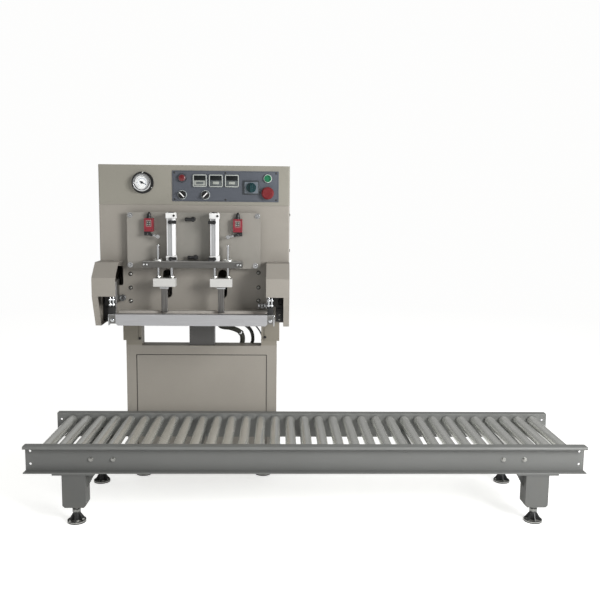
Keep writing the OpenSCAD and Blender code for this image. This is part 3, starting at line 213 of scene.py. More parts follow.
class Tree:
    """A node tree in the making."""

    def __init__(self, tree):
        self.nodes, self.links = tree.nodes, tree.links

    def feed(self, socket, value):
        """Give a socket another node's output, a colour or a plain value."""
        if hasattr(value, "is_output"):
            self.links.new(value, socket)
        elif hasattr(value, "__len__"):
            socket.default_value = (*value[:3], 1.0)
        else:
            socket.default_value = value

    def node(self, kind, *values, **named):
        """A new node whose sockets take the values, in their order or by their names."""
        node = self.nodes.new("ShaderNode" + kind)
        for socket, value in zip(node.inputs, values):
            self.feed(socket, value)
        for name, value in named.items():
            self.feed(node.inputs[name.replace("_", " ")], value)
        return node


class Finish(Tree):
    """A material: a Principled shader with helpers for the patterns that feed it."""

    def __init__(self, key, name):
        material = bpy.data.materials.new(name)
        material.use_nodes = True
        super().__init__(material.node_tree)
        FINISHES[key] = material
        self.shader = self.nodes["Principled BSDF"]
        self.coordinates = self.node("TexCoord").outputs["Object"]
        self.parts = self.node("SeparateXYZ", self.coordinates).outputs

    def set(self, **values):
        for name, value in values.items():
            self.feed(self.shader.inputs[name.replace("_", " ")], value)

    def noise(self, scale, detail=3.0, stretch=(1.0, 1.0, 1.0), roughness=0.55):
        mapping = self.node("Mapping", self.coordinates)
        mapping.inputs["Scale"].default_value = stretch
        return self.node("TexNoise", Vector=mapping.outputs["Vector"], Scale=scale, Detail=detail,
                         Roughness=roughness).outputs["Fac"]

    def limits(self, value, low=0.3, high=0.7, to_low=0.0, to_high=1.0):
        return self.node("MapRange", Value=value, From_Min=low, From_Max=high, To_Min=to_low,
                         To_Max=to_high).outputs["Result"]

    def spread(self, noise, to_low, to_high):
        """A noise, which lies mostly between 0.3 and 0.7, spread between two values."""
        return self.limits(noise, to_low=to_low, to_high=to_high)

    def math(self, operation, first, second=0.0):
        node = self.node("Math", first, second)
        node.operation = operation
        return node.outputs["Value"]

    def times(self, first, second):
        return self.math("MULTIPLY", first, second)

    def less(self, first, second):
        return self.math("SUBTRACT", first, second)

    def mix(self, share, first, second, blend="MIX"):
        node = self.node("Mix")
        node.data_type, node.blend_type = "RGBA", blend
        for place, value in ((0, share), (6, first), (7, second)):
            self.feed(node.inputs[place], value)
        return node.outputs[2]

    def shade(self, share, tone, tint):
        """The tone multiplied by a tint where the share is 1."""
        return self.mix(share, tone, tint, "MULTIPLY")

    def clouded(self, noise, first, second):
        """Two tones in the clouds of a noise."""
        return self.mix(self.limits(noise), first, second)

    def choose(self, share, first, second):
        """The first value where the share is 0, the second where it is 1."""
        node = self.node("Mix")
        for place, value in ((0, share), (2, first), (3, second)):
            self.feed(node.inputs[place], value)
        return node.outputs[0]

    def above(self, axis, millimetres):
        """1 where the coordinate is over the value, 0 elsewhere."""
        return self.math("GREATER_THAN", self.parts[axis], millimetres * MM)

    def between(self, axis, low, high):
        return self.times(self.above(axis, low), self.less(1.0, self.above(axis, high)))

    def away_from(self, axis, millimetres):
        """The distance from a plane across the axis, to either side."""
        return self.math("ABSOLUTE", self.less(self.parts[axis], millimetres * MM))

    def radius(self, first, second):
        return self.math("SQRT", self.math("ADD", self.times(first, first), self.times(second, second)))

    def rings(self, scale, bands="X"):
        node = self.node("TexWave", self.coordinates, Scale=scale)
        node.bands_direction = bands
        return node.outputs["Fac"]

    def bump(self, height, strength, distance, edge=0.0, after=None):
        """Bumps on the surface, over its rounded edges or over coarser bumps."""
        if edge > 0.0:
            bevel = self.node("Bevel", edge)
            bevel.samples = 4
            after = bevel.outputs["Normal"]
        node = self.node("Bump", Height=height, Strength=strength, Distance=distance)
        if after is not None:
            self.feed(node.inputs["Normal"], after)
        self.feed(self.shader.inputs["Normal"], node.outputs["Normal"])
        return node.outputs["Normal"]


def enamel_finish(key, name, colour, gloss=0.42, tone_and_shade=None):
    """Stoved enamel: orange peel, faint cloudiness, and dust that dulls the gloss in patches."""
    f = Finish(key, name)
    tone = f.clouded(f.noise(3.2, 4.0), lighter(colour, 0.955), lighter(colour, 1.045))
    tone = f.mix(f.limits(f.noise(140.0, 2.0), 0.35, 0.75, 0.0, 0.09), tone, lighter(colour, 0.72))
    # Where given, the last argument paints tone changes and painted shade by height.
    if tone_and_shade:
        tone = tone_and_shade(f, tone)
    f.set(Base_Color=tone, Roughness=f.limits(f.noise(9.0, 5.0), 0.3, 0.75, gloss - 0.05, gloss + 0.13))
    wave = f.bump(f.noise(26.0, 1.0), 0.10, 0.0006, 0.0011)
    f.bump(f.noise(620.0, 2.0), 0.10, 0.00025, after=wave)


def head_tone_and_shade(f, tone):
    """The cap over the seam is painted a little darker and yellower, and the sleeves under the head get painted
    shade.
    """
    tone = f.shade(f.above(2, SEAM_Z), tone, (0.90, 0.925, 0.89))
    # Painted shade on the sleeves below the head
    under = f.limits(f.parts[2], (HEAD_LOW + 12) * MM, (HEAD_LOW - 10) * MM)
    return f.shade(under, tone, (0.80, 0.79, 0.73))


def cabinet_post_shade(f, tone):
    """Painted shade on the posts over the ledge, under the head."""
    return f.shade(f.limits(f.parts[2], 0.715, 0.725), tone, (0.80, 0.79, 0.74))


def metal_finish(key, name, shade, roughness, grain, spread=0.12, depth=0.06, stretch=(1.0, 1.0, 1.0)):
    """Bare or plated metal: drawn grain in one direction and a patchy polish."""
    f = Finish(key, name)
    colour = srgb(*shade)
    drawn = f.noise(grain, 3.0, stretch, 0.6)
    patch = f.spread(f.noise(11.0, 4.0), roughness - spread / 2, roughness + spread / 2)
    f.set(Base_Color=f.clouded(drawn, lighter(colour, 0.86), lighter(colour, 1.08)), Metallic=1.0,
          Roughness=f.math("ADD", patch, f.spread(drawn, -0.04, 0.05)))
    f.bump(drawn, depth, 0.0002, 0.0005)


def plastic_finish(key, name, colour, roughness=0.4, coat=0.0):
    """Moulded plastic with fine spark texture and finger-worn patches of gloss."""
    f = Finish(key, name)
    worn = f.noise(45.0, 4.0)
    f.set(Base_Color=f.mix(f.limits(worn, 0.3, 0.75), lighter(colour, 0.93), lighter(colour, 1.07)),
          Roughness=f.limits(worn, 0.3, 0.75, roughness - 0.07, roughness + 0.09),
          Coat_Weight=coat, Coat_Roughness=0.12)
    f.bump(f.noise(1500.0, 2.0), 0.06, 0.0001, 0.0004)


def rubber_finish(key, name, colour, roughness=0.62):
    """Rubber or soft PVC: matt, with a bloom that lightens it in clouds."""
    f = Finish(key, name)
    bloom = f.noise(38.0, 5.0)
    f.set(Base_Color=f.mix(f.limits(bloom, 0.35, 0.75), lighter(colour, 0.85), lighter(colour, 1.25)),
          Roughness=f.spread(bloom, roughness - 0.08, roughness + 0.1))
    f.bump(f.noise(1100.0, 2.0), 0.10, 0.00015)


def panel_finish():
    """Anodised plate of the controls: long brush lines, and a painted sheen that makes it paler towards its right
    end.
    """
    f = Finish("panel_silver", "brushed_panel")
    colour = colours().panel_silver
    middle = MIDDLE_X + PANEL_X
    lines = f.noise(900.0, 3.0, (0.02, 1.0, 1.0))
    tone = f.clouded(lines, lighter(colour, 0.90), lighter(colour, 1.08))
    # Painted sheen: the plate is paler towards its right end.
    right = f.limits(f.parts[0], (middle + 120) * MM, (middle + 250) * MM)
    tone = f.mix(f.times(right, 0.5), tone, lighter(colour, 1.35))
    f.set(Base_Color=tone, Metallic=0.25, Roughness=f.spread(lines, 0.40, 0.50))
    f.bump(lines, 0.05, 0.0001, 0.0008)


def conveyor_finish():
    """Grey frame paint with scuffs and a painted highlight along the top flange, dust low down, and painted shade on
    the legs.
    """
    f = Finish("conveyor", "conveyor_paint")
    colour = colours().frame_paint
    height = f.parts[2]
    tone = f.clouded(f.noise(2.6, 4.0), lighter(colour, 0.94), lighter(colour, 1.04))
    # Top flange: scuffs, plus a painted highlight that never falls below a share of the lighter tone
    scuff = f.limits(f.noise(60.0, 5.0, (0.25, 1.0, 1.0)), 0.40, 0.72, 0.28, 0.60)
    tone = f.mix(f.times(f.limits(height, 0.352, 0.368), scuff), tone, lighter(colour, 1.5))
    dust = f.limits(f.noise(14.0, 5.0), 0.35, 0.75, 0.0, 0.4)
    tone = f.mix(f.times(f.limits(height, 0.26, 0.08), dust), tone, srgb(130, 127, 119))
    # Painted shade: the legs under the frame are darker
    tone = f.shade(f.limits(height, 0.246, 0.238), tone, (0.74, 0.74, 0.74))
    f.set(Base_Color=tone, Roughness=f.limits(f.noise(8.0, 5.0), 0.3, 0.75, 0.38, 0.55))
    f.bump(f.noise(520.0, 2.0), 0.12, 0.0003, 0.0014)


def roller_finish():
    """Zinc plated tube, turned rings and long scuffs, with the dark bearing cap in each end."""
    f = Finish("roller", "roller_zinc")
    rings = f.noise(420.0, 2.0, (0.02, 1.0, 0.02), 0.6)
    scuff = f.noise(34.0, 5.0, (1.6, 0.12, 1.6))
    tone = f.mix(f.limits(scuff, 0.38, 0.66), srgb(250, 250, 246), srgb(238, 239, 234))
    tone = f.mix(f.limits(rings, 0.35, 0.7, 0.0, 0.2), tone, srgb(176, 177, 174))
    cap = f.math("GREATER_THAN", f.away_from(1, CONVEYOR_Y), 0.24685)
    f.set(Base_Color=f.mix(cap, tone, srgb(58, 60, 62)), Metallic=f.less(0.84, f.times(cap, 0.6)),
          Roughness=f.math("ADD", f.spread(scuff, 0.17, 0.21), f.spread(rings, 0.0, 0.03)))
    f.bump(rings, 0.04, 0.0002)


def foot_finish():
    """Levelling foot: black moulded base with a dished bright rim, and zinc nut and stud above."""
    f = Finish("foot", "levelling_foot")
    zinc = f.above(2, 50.1)
    dish = f.times(f.between(2, 4.5, 9.2), f.spread(f.noise(60.0, 4.0), 0.7, 1.0))
    base = f.clouded(f.noise(40.0, 4.0), srgb(38, 39, 40), srgb(58, 58, 57))
    base = f.mix(dish, base, srgb(196, 196, 192))
    metal = f.clouded(f.noise(300.0, 3.0), srgb(126, 127, 126), srgb(176, 176, 172))
    f.set(Base_Color=f.mix(zinc, base, metal), Metallic=f.math("MAXIMUM", zinc, dish),
          Roughness=f.choose(zinc, 0.42, 0.30))
    f.bump(f.times(f.rings(62.0, "Z"), f.above(2, 62.2)), 0.5, 0.0008, 0.0006)


def plate_finish():
    """Light plate with painted shade between the cylinders, the dark cross bar with a painted highlight along its top
    edge, and the bright guide flanges standing on it.
    """
    f = Finish("plate", "cylinder_plate")
    front = f.less(1.0, f.above(1, FACE_Y - PLATE_OUT - 0.3))
    over_bar = f.above(2, BAR_TOP + 0.1)
    bar, flange = f.times(front, f.less(1.0, over_bar)), f.times(front, over_bar)
    cloud = f.noise(5.0, 4.0)
    plate = f.clouded(cloud, srgb(134, 131, 124), srgb(144, 140, 133))
    # Painted shade on the middle of the plate, between the cylinders
    plate = f.shade(f.limits(f.away_from(0, MIDDLE_X), 0.13, 0.04), plate, (0.80, 0.81, 0.81))
    steel = f.clouded(f.noise(500.0, 3.0, (0.02, 1.0, 1.0)), srgb(94, 93, 91), srgb(112, 111, 108))
    # Painted highlight along the top edge of the cross bar
    bar_top_highlight = f.limits(f.parts[2], (BAR_TOP - 4) * MM, (BAR_TOP - 1) * MM)
    tone = f.mix(bar, plate, f.mix(bar_top_highlight, steel, srgb(158, 157, 154)))
    f.set(Base_Color=f.mix(flange, tone, srgb(214, 214, 210)),
          Metallic=f.math("MAXIMUM", f.times(bar, 0.75), flange), Roughness=f.spread(cloud, 0.34, 0.46))
    f.bump(f.noise(700.0, 2.0), 0.06, 0.0002, 0.0010)


def front_jaw_finish():
    """Satin anodised jaw, its rubber strip at the back and its steel arms at both ends, with painted shade on the
    arms high up inside the covers.
    """
    f = Finish("front_jaw", "front_jaw")
    arm = f.math("GREATER_THAN", f.away_from(0, MIDDLE_X), 0.3472)
    strip = f.times(f.above(1, FACE_Y - 120.2), f.less(1.0, arm))
    drawn = f.noise(700.0, 3.0, (0.015, 1.0, 1.0), 0.6)
    patch = f.noise(7.0, 4.0)
    satin = f.clouded(drawn, srgb(180, 180, 182), srgb(196, 196, 198))
    steel = f.clouded(patch, srgb(112, 111, 109), srgb(140, 139, 136))
    # Painted shade: the arms turn nearly black high up, inside the covers
    steel = f.shade(f.above(2, 955.0), steel, (0.12, 0.12, 0.12))
    f.set(Base_Color=f.mix(strip, f.mix(arm, satin, steel), srgb(122, 62, 44)),
          Metallic=f.less(0.9, f.times(strip, 0.9)), Roughness=f.spread(patch, 0.34, 0.46))
    f.bump(drawn, 0.05, 0.0002, 0.0010)


def nozzle_finish():
    """White moulded block, dark flat nozzle and pipe below it and chromed rods above it."""
    f = Finish("nozzle", "nozzle")
    rods = f.above(2, NOZZLE_TOP + 0.2)
    pipe = f.times(f.above(1, FACE_Y - 59.6), f.less(1.0, rods))
    duct = f.less(1.0, f.above(2, 1069.8))
    upright = (1.0, 1.0, 0.05)
    white = colours().block_white
    tone = f.mix(f.limits(f.noise(40.0, 4.0), 0.3, 0.75), lighter(white, 0.95), white)
    tone = f.mix(rods, tone, f.clouded(f.noise(500.0, 3.0, upright), srgb(150, 151, 152), srgb(186, 187, 188)))
    tone = f.mix(duct, tone, f.clouded(f.noise(260.0, 3.0, upright), srgb(92, 91, 90), srgb(124, 122, 119)))
    f.set(Base_Color=f.mix(pipe, tone, srgb(60, 60, 60)), Metallic=f.math("MAXIMUM", rods, f.times(duct, 0.85)),
          Roughness=f.choose(rods, f.choose(duct, 0.46, 0.34), 0.18))
    f.bump(f.noise(900.0, 2.0), 0.05, 0.0001, 0.0008)


def barrel_finish():
    """Bright anodised profile with a grey band of painted shade down the groove and beside it."""
    f = Finish("barrel", "anodised_barrel")
    off = f.less(f.parts[0], MIDDLE_X * MM)
    axis = f.less(f.times(f.math("GREATER_THAN", off, 0.0), 2 * CYLINDER_X * MM), CYLINDER_X * MM)
    # Painted shade: a grey band down each barrel, a little left of its axis
    beside = f.math("ABSOLUTE", f.math("ADD", f.less(off, axis), 0.0045))
    drawn = f.noise(300.0, 2.0, (1.0, 1.0, 0.01))
    tone = f.clouded(drawn, srgb(240, 241, 242), srgb(252, 252, 252))
    tone = f.mix(f.times(f.limits(beside, 0.0115, 0.0085), 0.85), tone, srgb(150, 151, 152))
    f.set(Base_Color=tone, Metallic=0.3, Roughness=f.spread(drawn, 0.32, 0.40))
    f.bump(drawn, 0.03, 0.0001, 0.0008)


def switch_finish():
    """Limit switch: red moulded body over a black foot, with a black gland on top."""
    f = Finish("limit_switch", "limit_switch")
    colour = colours().switch_red
    worn = f.noise(60.0, 4.0)
    red = f.clouded(worn, lighter(colour, 0.9), colour)
    f.set(Base_Color=f.mix(f.between(2, 1322.3, 1383.1), srgb(30, 30, 31), red), Roughness=f.spread(worn, 0.34, 0.5))
    f.bump(f.noise(1300.0, 2.0), 0.06, 0.0001, 0.0010)


def dial_finish():
    """White enamelled dial with a thin blue arc, painted by angle and radius round the gauge's axis."""
    f = Finish("dial", "gauge_dial")
    x = f.less(f.parts[0], (MIDDLE_X + GAUGE_X) * MM)
    z = f.less(f.parts[2], GAUGE_Z * MM)
    radius = f.radius(x, z)
    band = f.times(f.math("GREATER_THAN", radius, 0.0185), f.math("LESS_THAN", radius, 0.0200))
    angle = f.math("ABSOLUTE", f.math("ARCTAN2", x, f.times(z, -1.0)))
    arc = f.times(band, f.math("GREATER_THAN", angle, math.radians(40)))
    paper = f.clouded(f.noise(80.0, 3.0), srgb(232, 233, 232), srgb(242, 243, 242))
    f.set(Base_Color=f.mix(arc, paper, srgb(64, 96, 140)), Roughness=0.42)
    f.bump(f.noise(900.0, 2.0), 0.04, 0.0001)


def window_finish():
    """Smoked window of a meter, with faint clouds in its dark tint."""
    f = Finish("window", "meter_window")
    f.set(Base_Color=f.clouded(f.noise(90.0, 3.0), srgb(12, 16, 16), srgb(24, 29, 28)), Roughness=0.4,
          Specular_IOR_Level=0.25)
    f.bump(f.noise(30.0, 2.0), 0.05, 0.0003)


def lens_finish():
    """Red lens of the mains lamp, ribbed behind its smooth face."""
    f = Finish("lens", "lamp_lens")
    rings = f.rings(90.0)
    f.set(Base_Color=f.mix(rings, srgb(76, 10, 16), srgb(118, 24, 30)), Roughness=0.3, Subsurface_Weight=0.1,
          Coat_Weight=0.3, Coat_Roughness=0.15)
    f.bump(rings, 0.2, 0.0003)


# Key, material, colour and roughness
PLASTICS = (
    ("rear_jaw", "rear_jaw", (176, 172, 165), 0.46),
    ("cap_alloy", "cast_cap", (226, 226, 225), 0.36),
    ("pale_frame", "pale_frame", (168, 172, 167), 0.5),
    ("start_ring", "start_ring", (200, 208, 204), 0.42),
    ("label", "meter_label", (148, 151, 145), 0.5),
    ("mid_grey", "meter_body", (78, 83, 84), 0.5),
    ("white_mark", "white_mark", (238, 238, 236), 0.4),
    ("black", "black_plastic", (24, 24, 25), 0.38),
    ("blue_grey", "switch_plate", (104, 112, 120), 0.44),
    ("charcoal", "switch_surround", (50, 54, 58), 0.46),
    ("needle", "needle_paint", (30, 34, 40), 0.4),
)
# Key, material, colour, roughness and grain
METALS = (
    ("steel", "bright_steel", (190, 191, 192), 0.24, 700.0),
    ("zinc", "zinc_plate", (170, 170, 166), 0.3, 420.0),
    ("dark_steel", "dark_steel", (74, 73, 72), 0.42, 500.0),
    ("grey_steel", "grey_steel", (128, 127, 124), 0.44, 420.0),
    ("chrome", "chrome", (222, 223, 224), 0.12, 700.0, 0.06),
    ("rod_chrome", "rod_chrome", (206, 208, 210), 0.22, 500.0, 0.12, 0.02, (1.0, 1.0, 0.05)),
)


def make_finishes():
    c = colours()
    enamel_finish("enamel", "warm_grey_enamel", c.enamel)
    enamel_finish("head_enamel", "head_enamel", c.enamel, tone_and_shade=head_tone_and_shade)
    # The cabinet has the same enamel as the head, made lighter here as painted light.
    enamel_finish("cabinet_enamel_lit_and_shaded", "cabinet_enamel_lit_and_shaded", lighter(c.enamel, 1.08), tone_and_shade=cabinet_post_shade)
    enamel_finish("column", "column_paint", c.column_paint, 0.36)
    enamel_finish("pump", "pump_paint", srgb(92, 98, 104), 0.4)
    for make in (conveyor_finish, roller_finish, foot_finish, plate_finish, front_jaw_finish, nozzle_finish,
                 switch_finish, barrel_finish, panel_finish, dial_finish, window_finish, lens_finish):
        make()
    for row in METALS:
        metal_finish(*row)
    for key, name, shade, roughness in PLASTICS:
        plastic_finish(key, name, srgb(*shade), roughness)
    plastic_finish("teal", "teal_plastic", srgb(8, 50, 54), 0.30, coat=0.2)
    plastic_finish("green", "green_plastic", c.start_green, coat=0.1)
    plastic_finish("red", "red_plastic", c.stop_red, coat=0.1)
    rubber_finish("rubber", "black_rubber", srgb(26, 26, 26))
    rubber_finish("hose", "hose_rubber", c.hose_olive, 0.5)
    rubber_finish("conduit", "conduit_grey", srgb(58, 59, 57), 0.40)
    rubber_finish("tube", "tube_black", srgb(30, 31, 33), 0.34)


# Every other node is a roller
NODE_FINISH = {
    "conveyor_frame": "conveyor", "roller_axles": "conveyor", "levelling_feet": "foot",
    "base_cabinet": "cabinet_enamel_lit_and_shaded", "access_panel": "cabinet_enamel_lit_and_shaded", "vacuum_pump": "pump",
    "lift_column": "column", "vacuum_hoses": "hose", "head_housing": "head_enamel", "side_covers": "enamel",
    "cylinder_plate": "plate", "air_cylinders": "cap_alloy", "rear_jaw": "rear_jaw", "front_jaw": "front_jaw",
    "left_nozzle": "nozzle", "right_nozzle": "nozzle", "limit_switches": "limit_switch",
    "left_switch_lever": "steel", "right_switch_lever": "steel", "control_panel": "panel_silver",
    "start_button": "green", "emergency_stop": "red", "left_selector": "black", "right_selector": "black",
    "main_switch": "teal", "vacuum_gauge": "black", "gauge_needle": "needle",
}


# ---------------------------------------------------------------------------
# Shapes: sizes in millimetres, drawn at a place in metres where they stand
# ---------------------------------------------------------------------------
class Shape:
    """A mesh in the making. Every call adds a closed form at its place."""

    def __init__(self):
        self.bm = bmesh.new()

    def _place(self, verts, start, axis=UP, turn=0.0):
        """Move forms made at the origin: Z goes to the axis, X stays level where it can."""
        lean = UP.rotation_difference(axis).to_matrix().to_4x4()
        matrix = Matrix.Translation(start) @ lean @ Matrix.Rotation(turn, 4, "Z")
        bmesh.ops.transform(self.bm, matrix=matrix, verts=verts)

    def _soften(self, edges, size, steps=2):
        if size > 0.0:
            bmesh.ops.bevel(self.bm, geom=list(edges), offset=size * MM, segments=steps, profile=0.5,
                            affect="EDGES", material=-1, clamp_overlap=True)

    def block(self, size, middle, edge=0.0, steps=2, turn=0.0, axis=UP):
        verts = bmesh.ops.create_cube(self.bm, size=1.0)["verts"]
        bmesh.ops.scale(self.bm, vec=at(*size), verts=verts)
        self._place(verts, middle, axis, turn)
        self._soften({e for v in verts for e in v.link_edges}, edge, steps)

    def frame(self, width, height, wall, depth, middle, edge=0.0, inset=0.0):
        """Four bars on the lines of a rectangle, or inside them."""
        x, z = (width - inset) / 2, (height - inset) / 2
        for dx, dz, w, h in ((0, z, width, wall), (0, -z, width, wall), (x, 0, wall, height), (-x, 0, wall, height)):
            self.block((w, depth, h), middle + at(dx, 0, dz), edge)

    def rod(self, d, length, start, axis=UP, edge=0.0, sides=32, turn=0.0):
        r, long = d / 2 * MM, length * MM
        verts = bmesh.ops.create_cone(self.bm, cap_ends=True, segments=sides, radius1=r, radius2=r,
                                      depth=long)["verts"]
        bmesh.ops.translate(self.bm, vec=(0.0, 0.0, long / 2), verts=verts)
        self._place(verts, start, axis, turn)
        caps = [face for face in {f for v in verts for f in v.link_faces} if len(face.verts) > 4]
        self._soften({e for face in caps for e in face.edges}, edge)

    def hexagon(self, across, length, start, axis=UP, edge=0.4, turn=0.0):
        self.rod(across / math.cos(math.pi / 6), length, start, axis, edge, 6, turn)

    def turned(self, profile, start, axis=UP, steps=40):
        """A profile of (radius, height) points spun once round the axis, closed where it is a ring."""
        points = [self.bm.verts.new(at(r, 0, h)) for r, h in profile]
        edges = [self.bm.edges.new(pair) for pair in zip(points, points[1:])]
        if min(profile[0][0], profile[-1][0]) > 0.0:
            edges.append(self.bm.edges.new((points[-1], points[0])))
        before = set(self.bm.verts)
        bmesh.ops.spin(self.bm, geom=points + edges, cent=(0, 0, 0), axis=(0, 0, 1), dvec=(0, 0, 0),
                       angle=2 * math.pi, steps=steps, use_merge=True, use_duplicate=False)
        verts = [v for v in points if v.is_valid] + [v for v in self.bm.verts if v not in before]
        self._place(verts, start, axis)
        bmesh.ops.remove_doubles(self.bm, verts=verts, dist=1e-6)

    def extruded(self, points, push, edge=0.0):
        """A flat face through the points, pushed out into a solid."""
        face = self.bm.faces.new([self.bm.verts.new(point) for point in points])
        made = bmesh.ops.extrude_face_region(self.bm, geom=[face])["geom"]
        pushed = [g for g in made if isinstance(g, bmesh.types.BMVert)]
        bmesh.ops.translate(self.bm, vec=push, verts=pushed)
        self._soften({e for v in pushed for e in v.link_edges if e.other_vert(v) in pushed}, edge)

    def plate(self, width, height, radius, thickness, start, edge=0.0):
        """A plate with rounded corners that stands up towards the front."""
        line = rounded_rectangle(width, height, radius)
        self.extruded([start + at(x, 0, z) for x, z in line], TO_FRONT * thickness * MM, edge)

    def socket_bolt(self, d, start, axis=TO_FRONT, washer=0.0):
        """A cap head with a hexagon socket, on a washer where one is given."""
        if washer > 0.0:
            rim = washer / 2
            self.turned([(0, 0), (rim, 0), (rim, 1.2), (rim - 0.4, WASHER), (0, WASHER)], start, axis, 28)
            start = start + axis * WASHER * MM
        r, h = d / 2, d * 0.6
        self.turned([(0, 0), (r, 0), (r, h * 0.82), (r * 0.88, h), (r * 0.55, h), (r * 0.5, h * 0.45),
                     (0, h * 0.4)], start, axis, 24)

    def hex_bolt(self, across, washer, start, axis=TO_FRONT):
        """A hexagon head on its washer."""
        self.rod(washer, WASHER, start, axis, 0.4, 28)
        self.hexagon(across, across * 0.42, start + axis * WASHER * MM, axis, across * 0.05, math.radians(15))

    def pan_screw(self, d, start):
        """A pan head with a recess."""
        r = d / 2
        self.turned([(0, 0), (r, 0), (r * 0.98, r * 0.28), (r * 0.72, r * 0.56), (r * 0.34, r * 0.68),
                     (r * 0.26, r * 0.40), (0, r * 0.36)], start, TO_FRONT, 20)

    def tube(self, path, radii, sides):
        """A closed tube along a path with a radius at each point, as a curve turned into a mesh."""
        curve = bpy.data.curves.new("tube_line", "CURVE")
        curve.dimensions = "3D"
        curve.bevel_depth = 1.0
        curve.bevel_resolution = sides // 4 - 1
        curve.use_fill_caps = True
        spline = curve.splines.new("POLY")
        spline.points.add(len(path) - 1)
        for point, place, radius in zip(spline.points, path, radii):
            point.co = (*place, 1.0)
            point.radius = radius
        holder = bpy.data.objects.new("tube_line", curve)
        bpy.context.scene.collection.objects.link(holder)
        bpy.context.view_layer.update()
        mesh = bpy.data.meshes.new_from_object(holder.evaluated_get(bpy.context.evaluated_depsgraph_get()))
        bpy.data.objects.remove(holder)
        self.bm.from_mesh(mesh)
        bpy.data.meshes.remove(mesh)
        bmesh.ops.remove_doubles(self.bm, verts=self.bm.verts, dist=1e-6)

    def piece(self, name, body, finish, smooth=35.0, slot=None, replaces=()):
        """The finished object, riding on a body where one is given."""
        bmesh.ops.recalc_face_normals(self.bm, faces=self.bm.faces)
        mesh = bpy.data.meshes.new(name)
        self.bm.to_mesh(mesh)
        self.bm.free()
        mesh.materials.append(FINISHES[finish])
        mesh.shade_smooth()
        mesh.set_sharp_from_angle(angle=math.radians(smooth))
        obj = bpy.data.objects.new(name, mesh)
        bpy.context.scene.collection.objects.link(obj)
        if body is not None:
            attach(obj, body)
        if replaces:
            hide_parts(*replaces)
        return obj


def rounded_rectangle(width, height, radius, steps=5):
    """The outline of a rectangle with rounded corners, round its middle."""
    points = []
    for corner, (sx, sz) in enumerate(((1, 1), (-1, 1), (-1, -1), (1, -1))):
        for i in range(steps + 1):
            angle = math.pi / 2 * (corner + i / steps)
            points.append((sx * (width / 2 - radius) + radius * math.cos(angle),
                           sz * (height / 2 - radius) + radius * math.sin(angle)))
    return points


def smooth_line(points, steps):
    """A smooth line through the points, upright at both ends."""
    ends = [points[0] + UP * 0.02, *points, points[-1] - UP * 0.02]
    line = []
    for a, b, c, d in zip(ends, ends[1:], ends[2:], ends[3:]):
        for i in range(steps):
            t = i / steps
            line.append(0.5 * (2 * b + (c - a) * t + (2 * a - 5 * b + 4 * c - d) * t * t
                               + (3 * b - a - 3 * c + d) * t ** 3))
    return [*line, points[-1]]


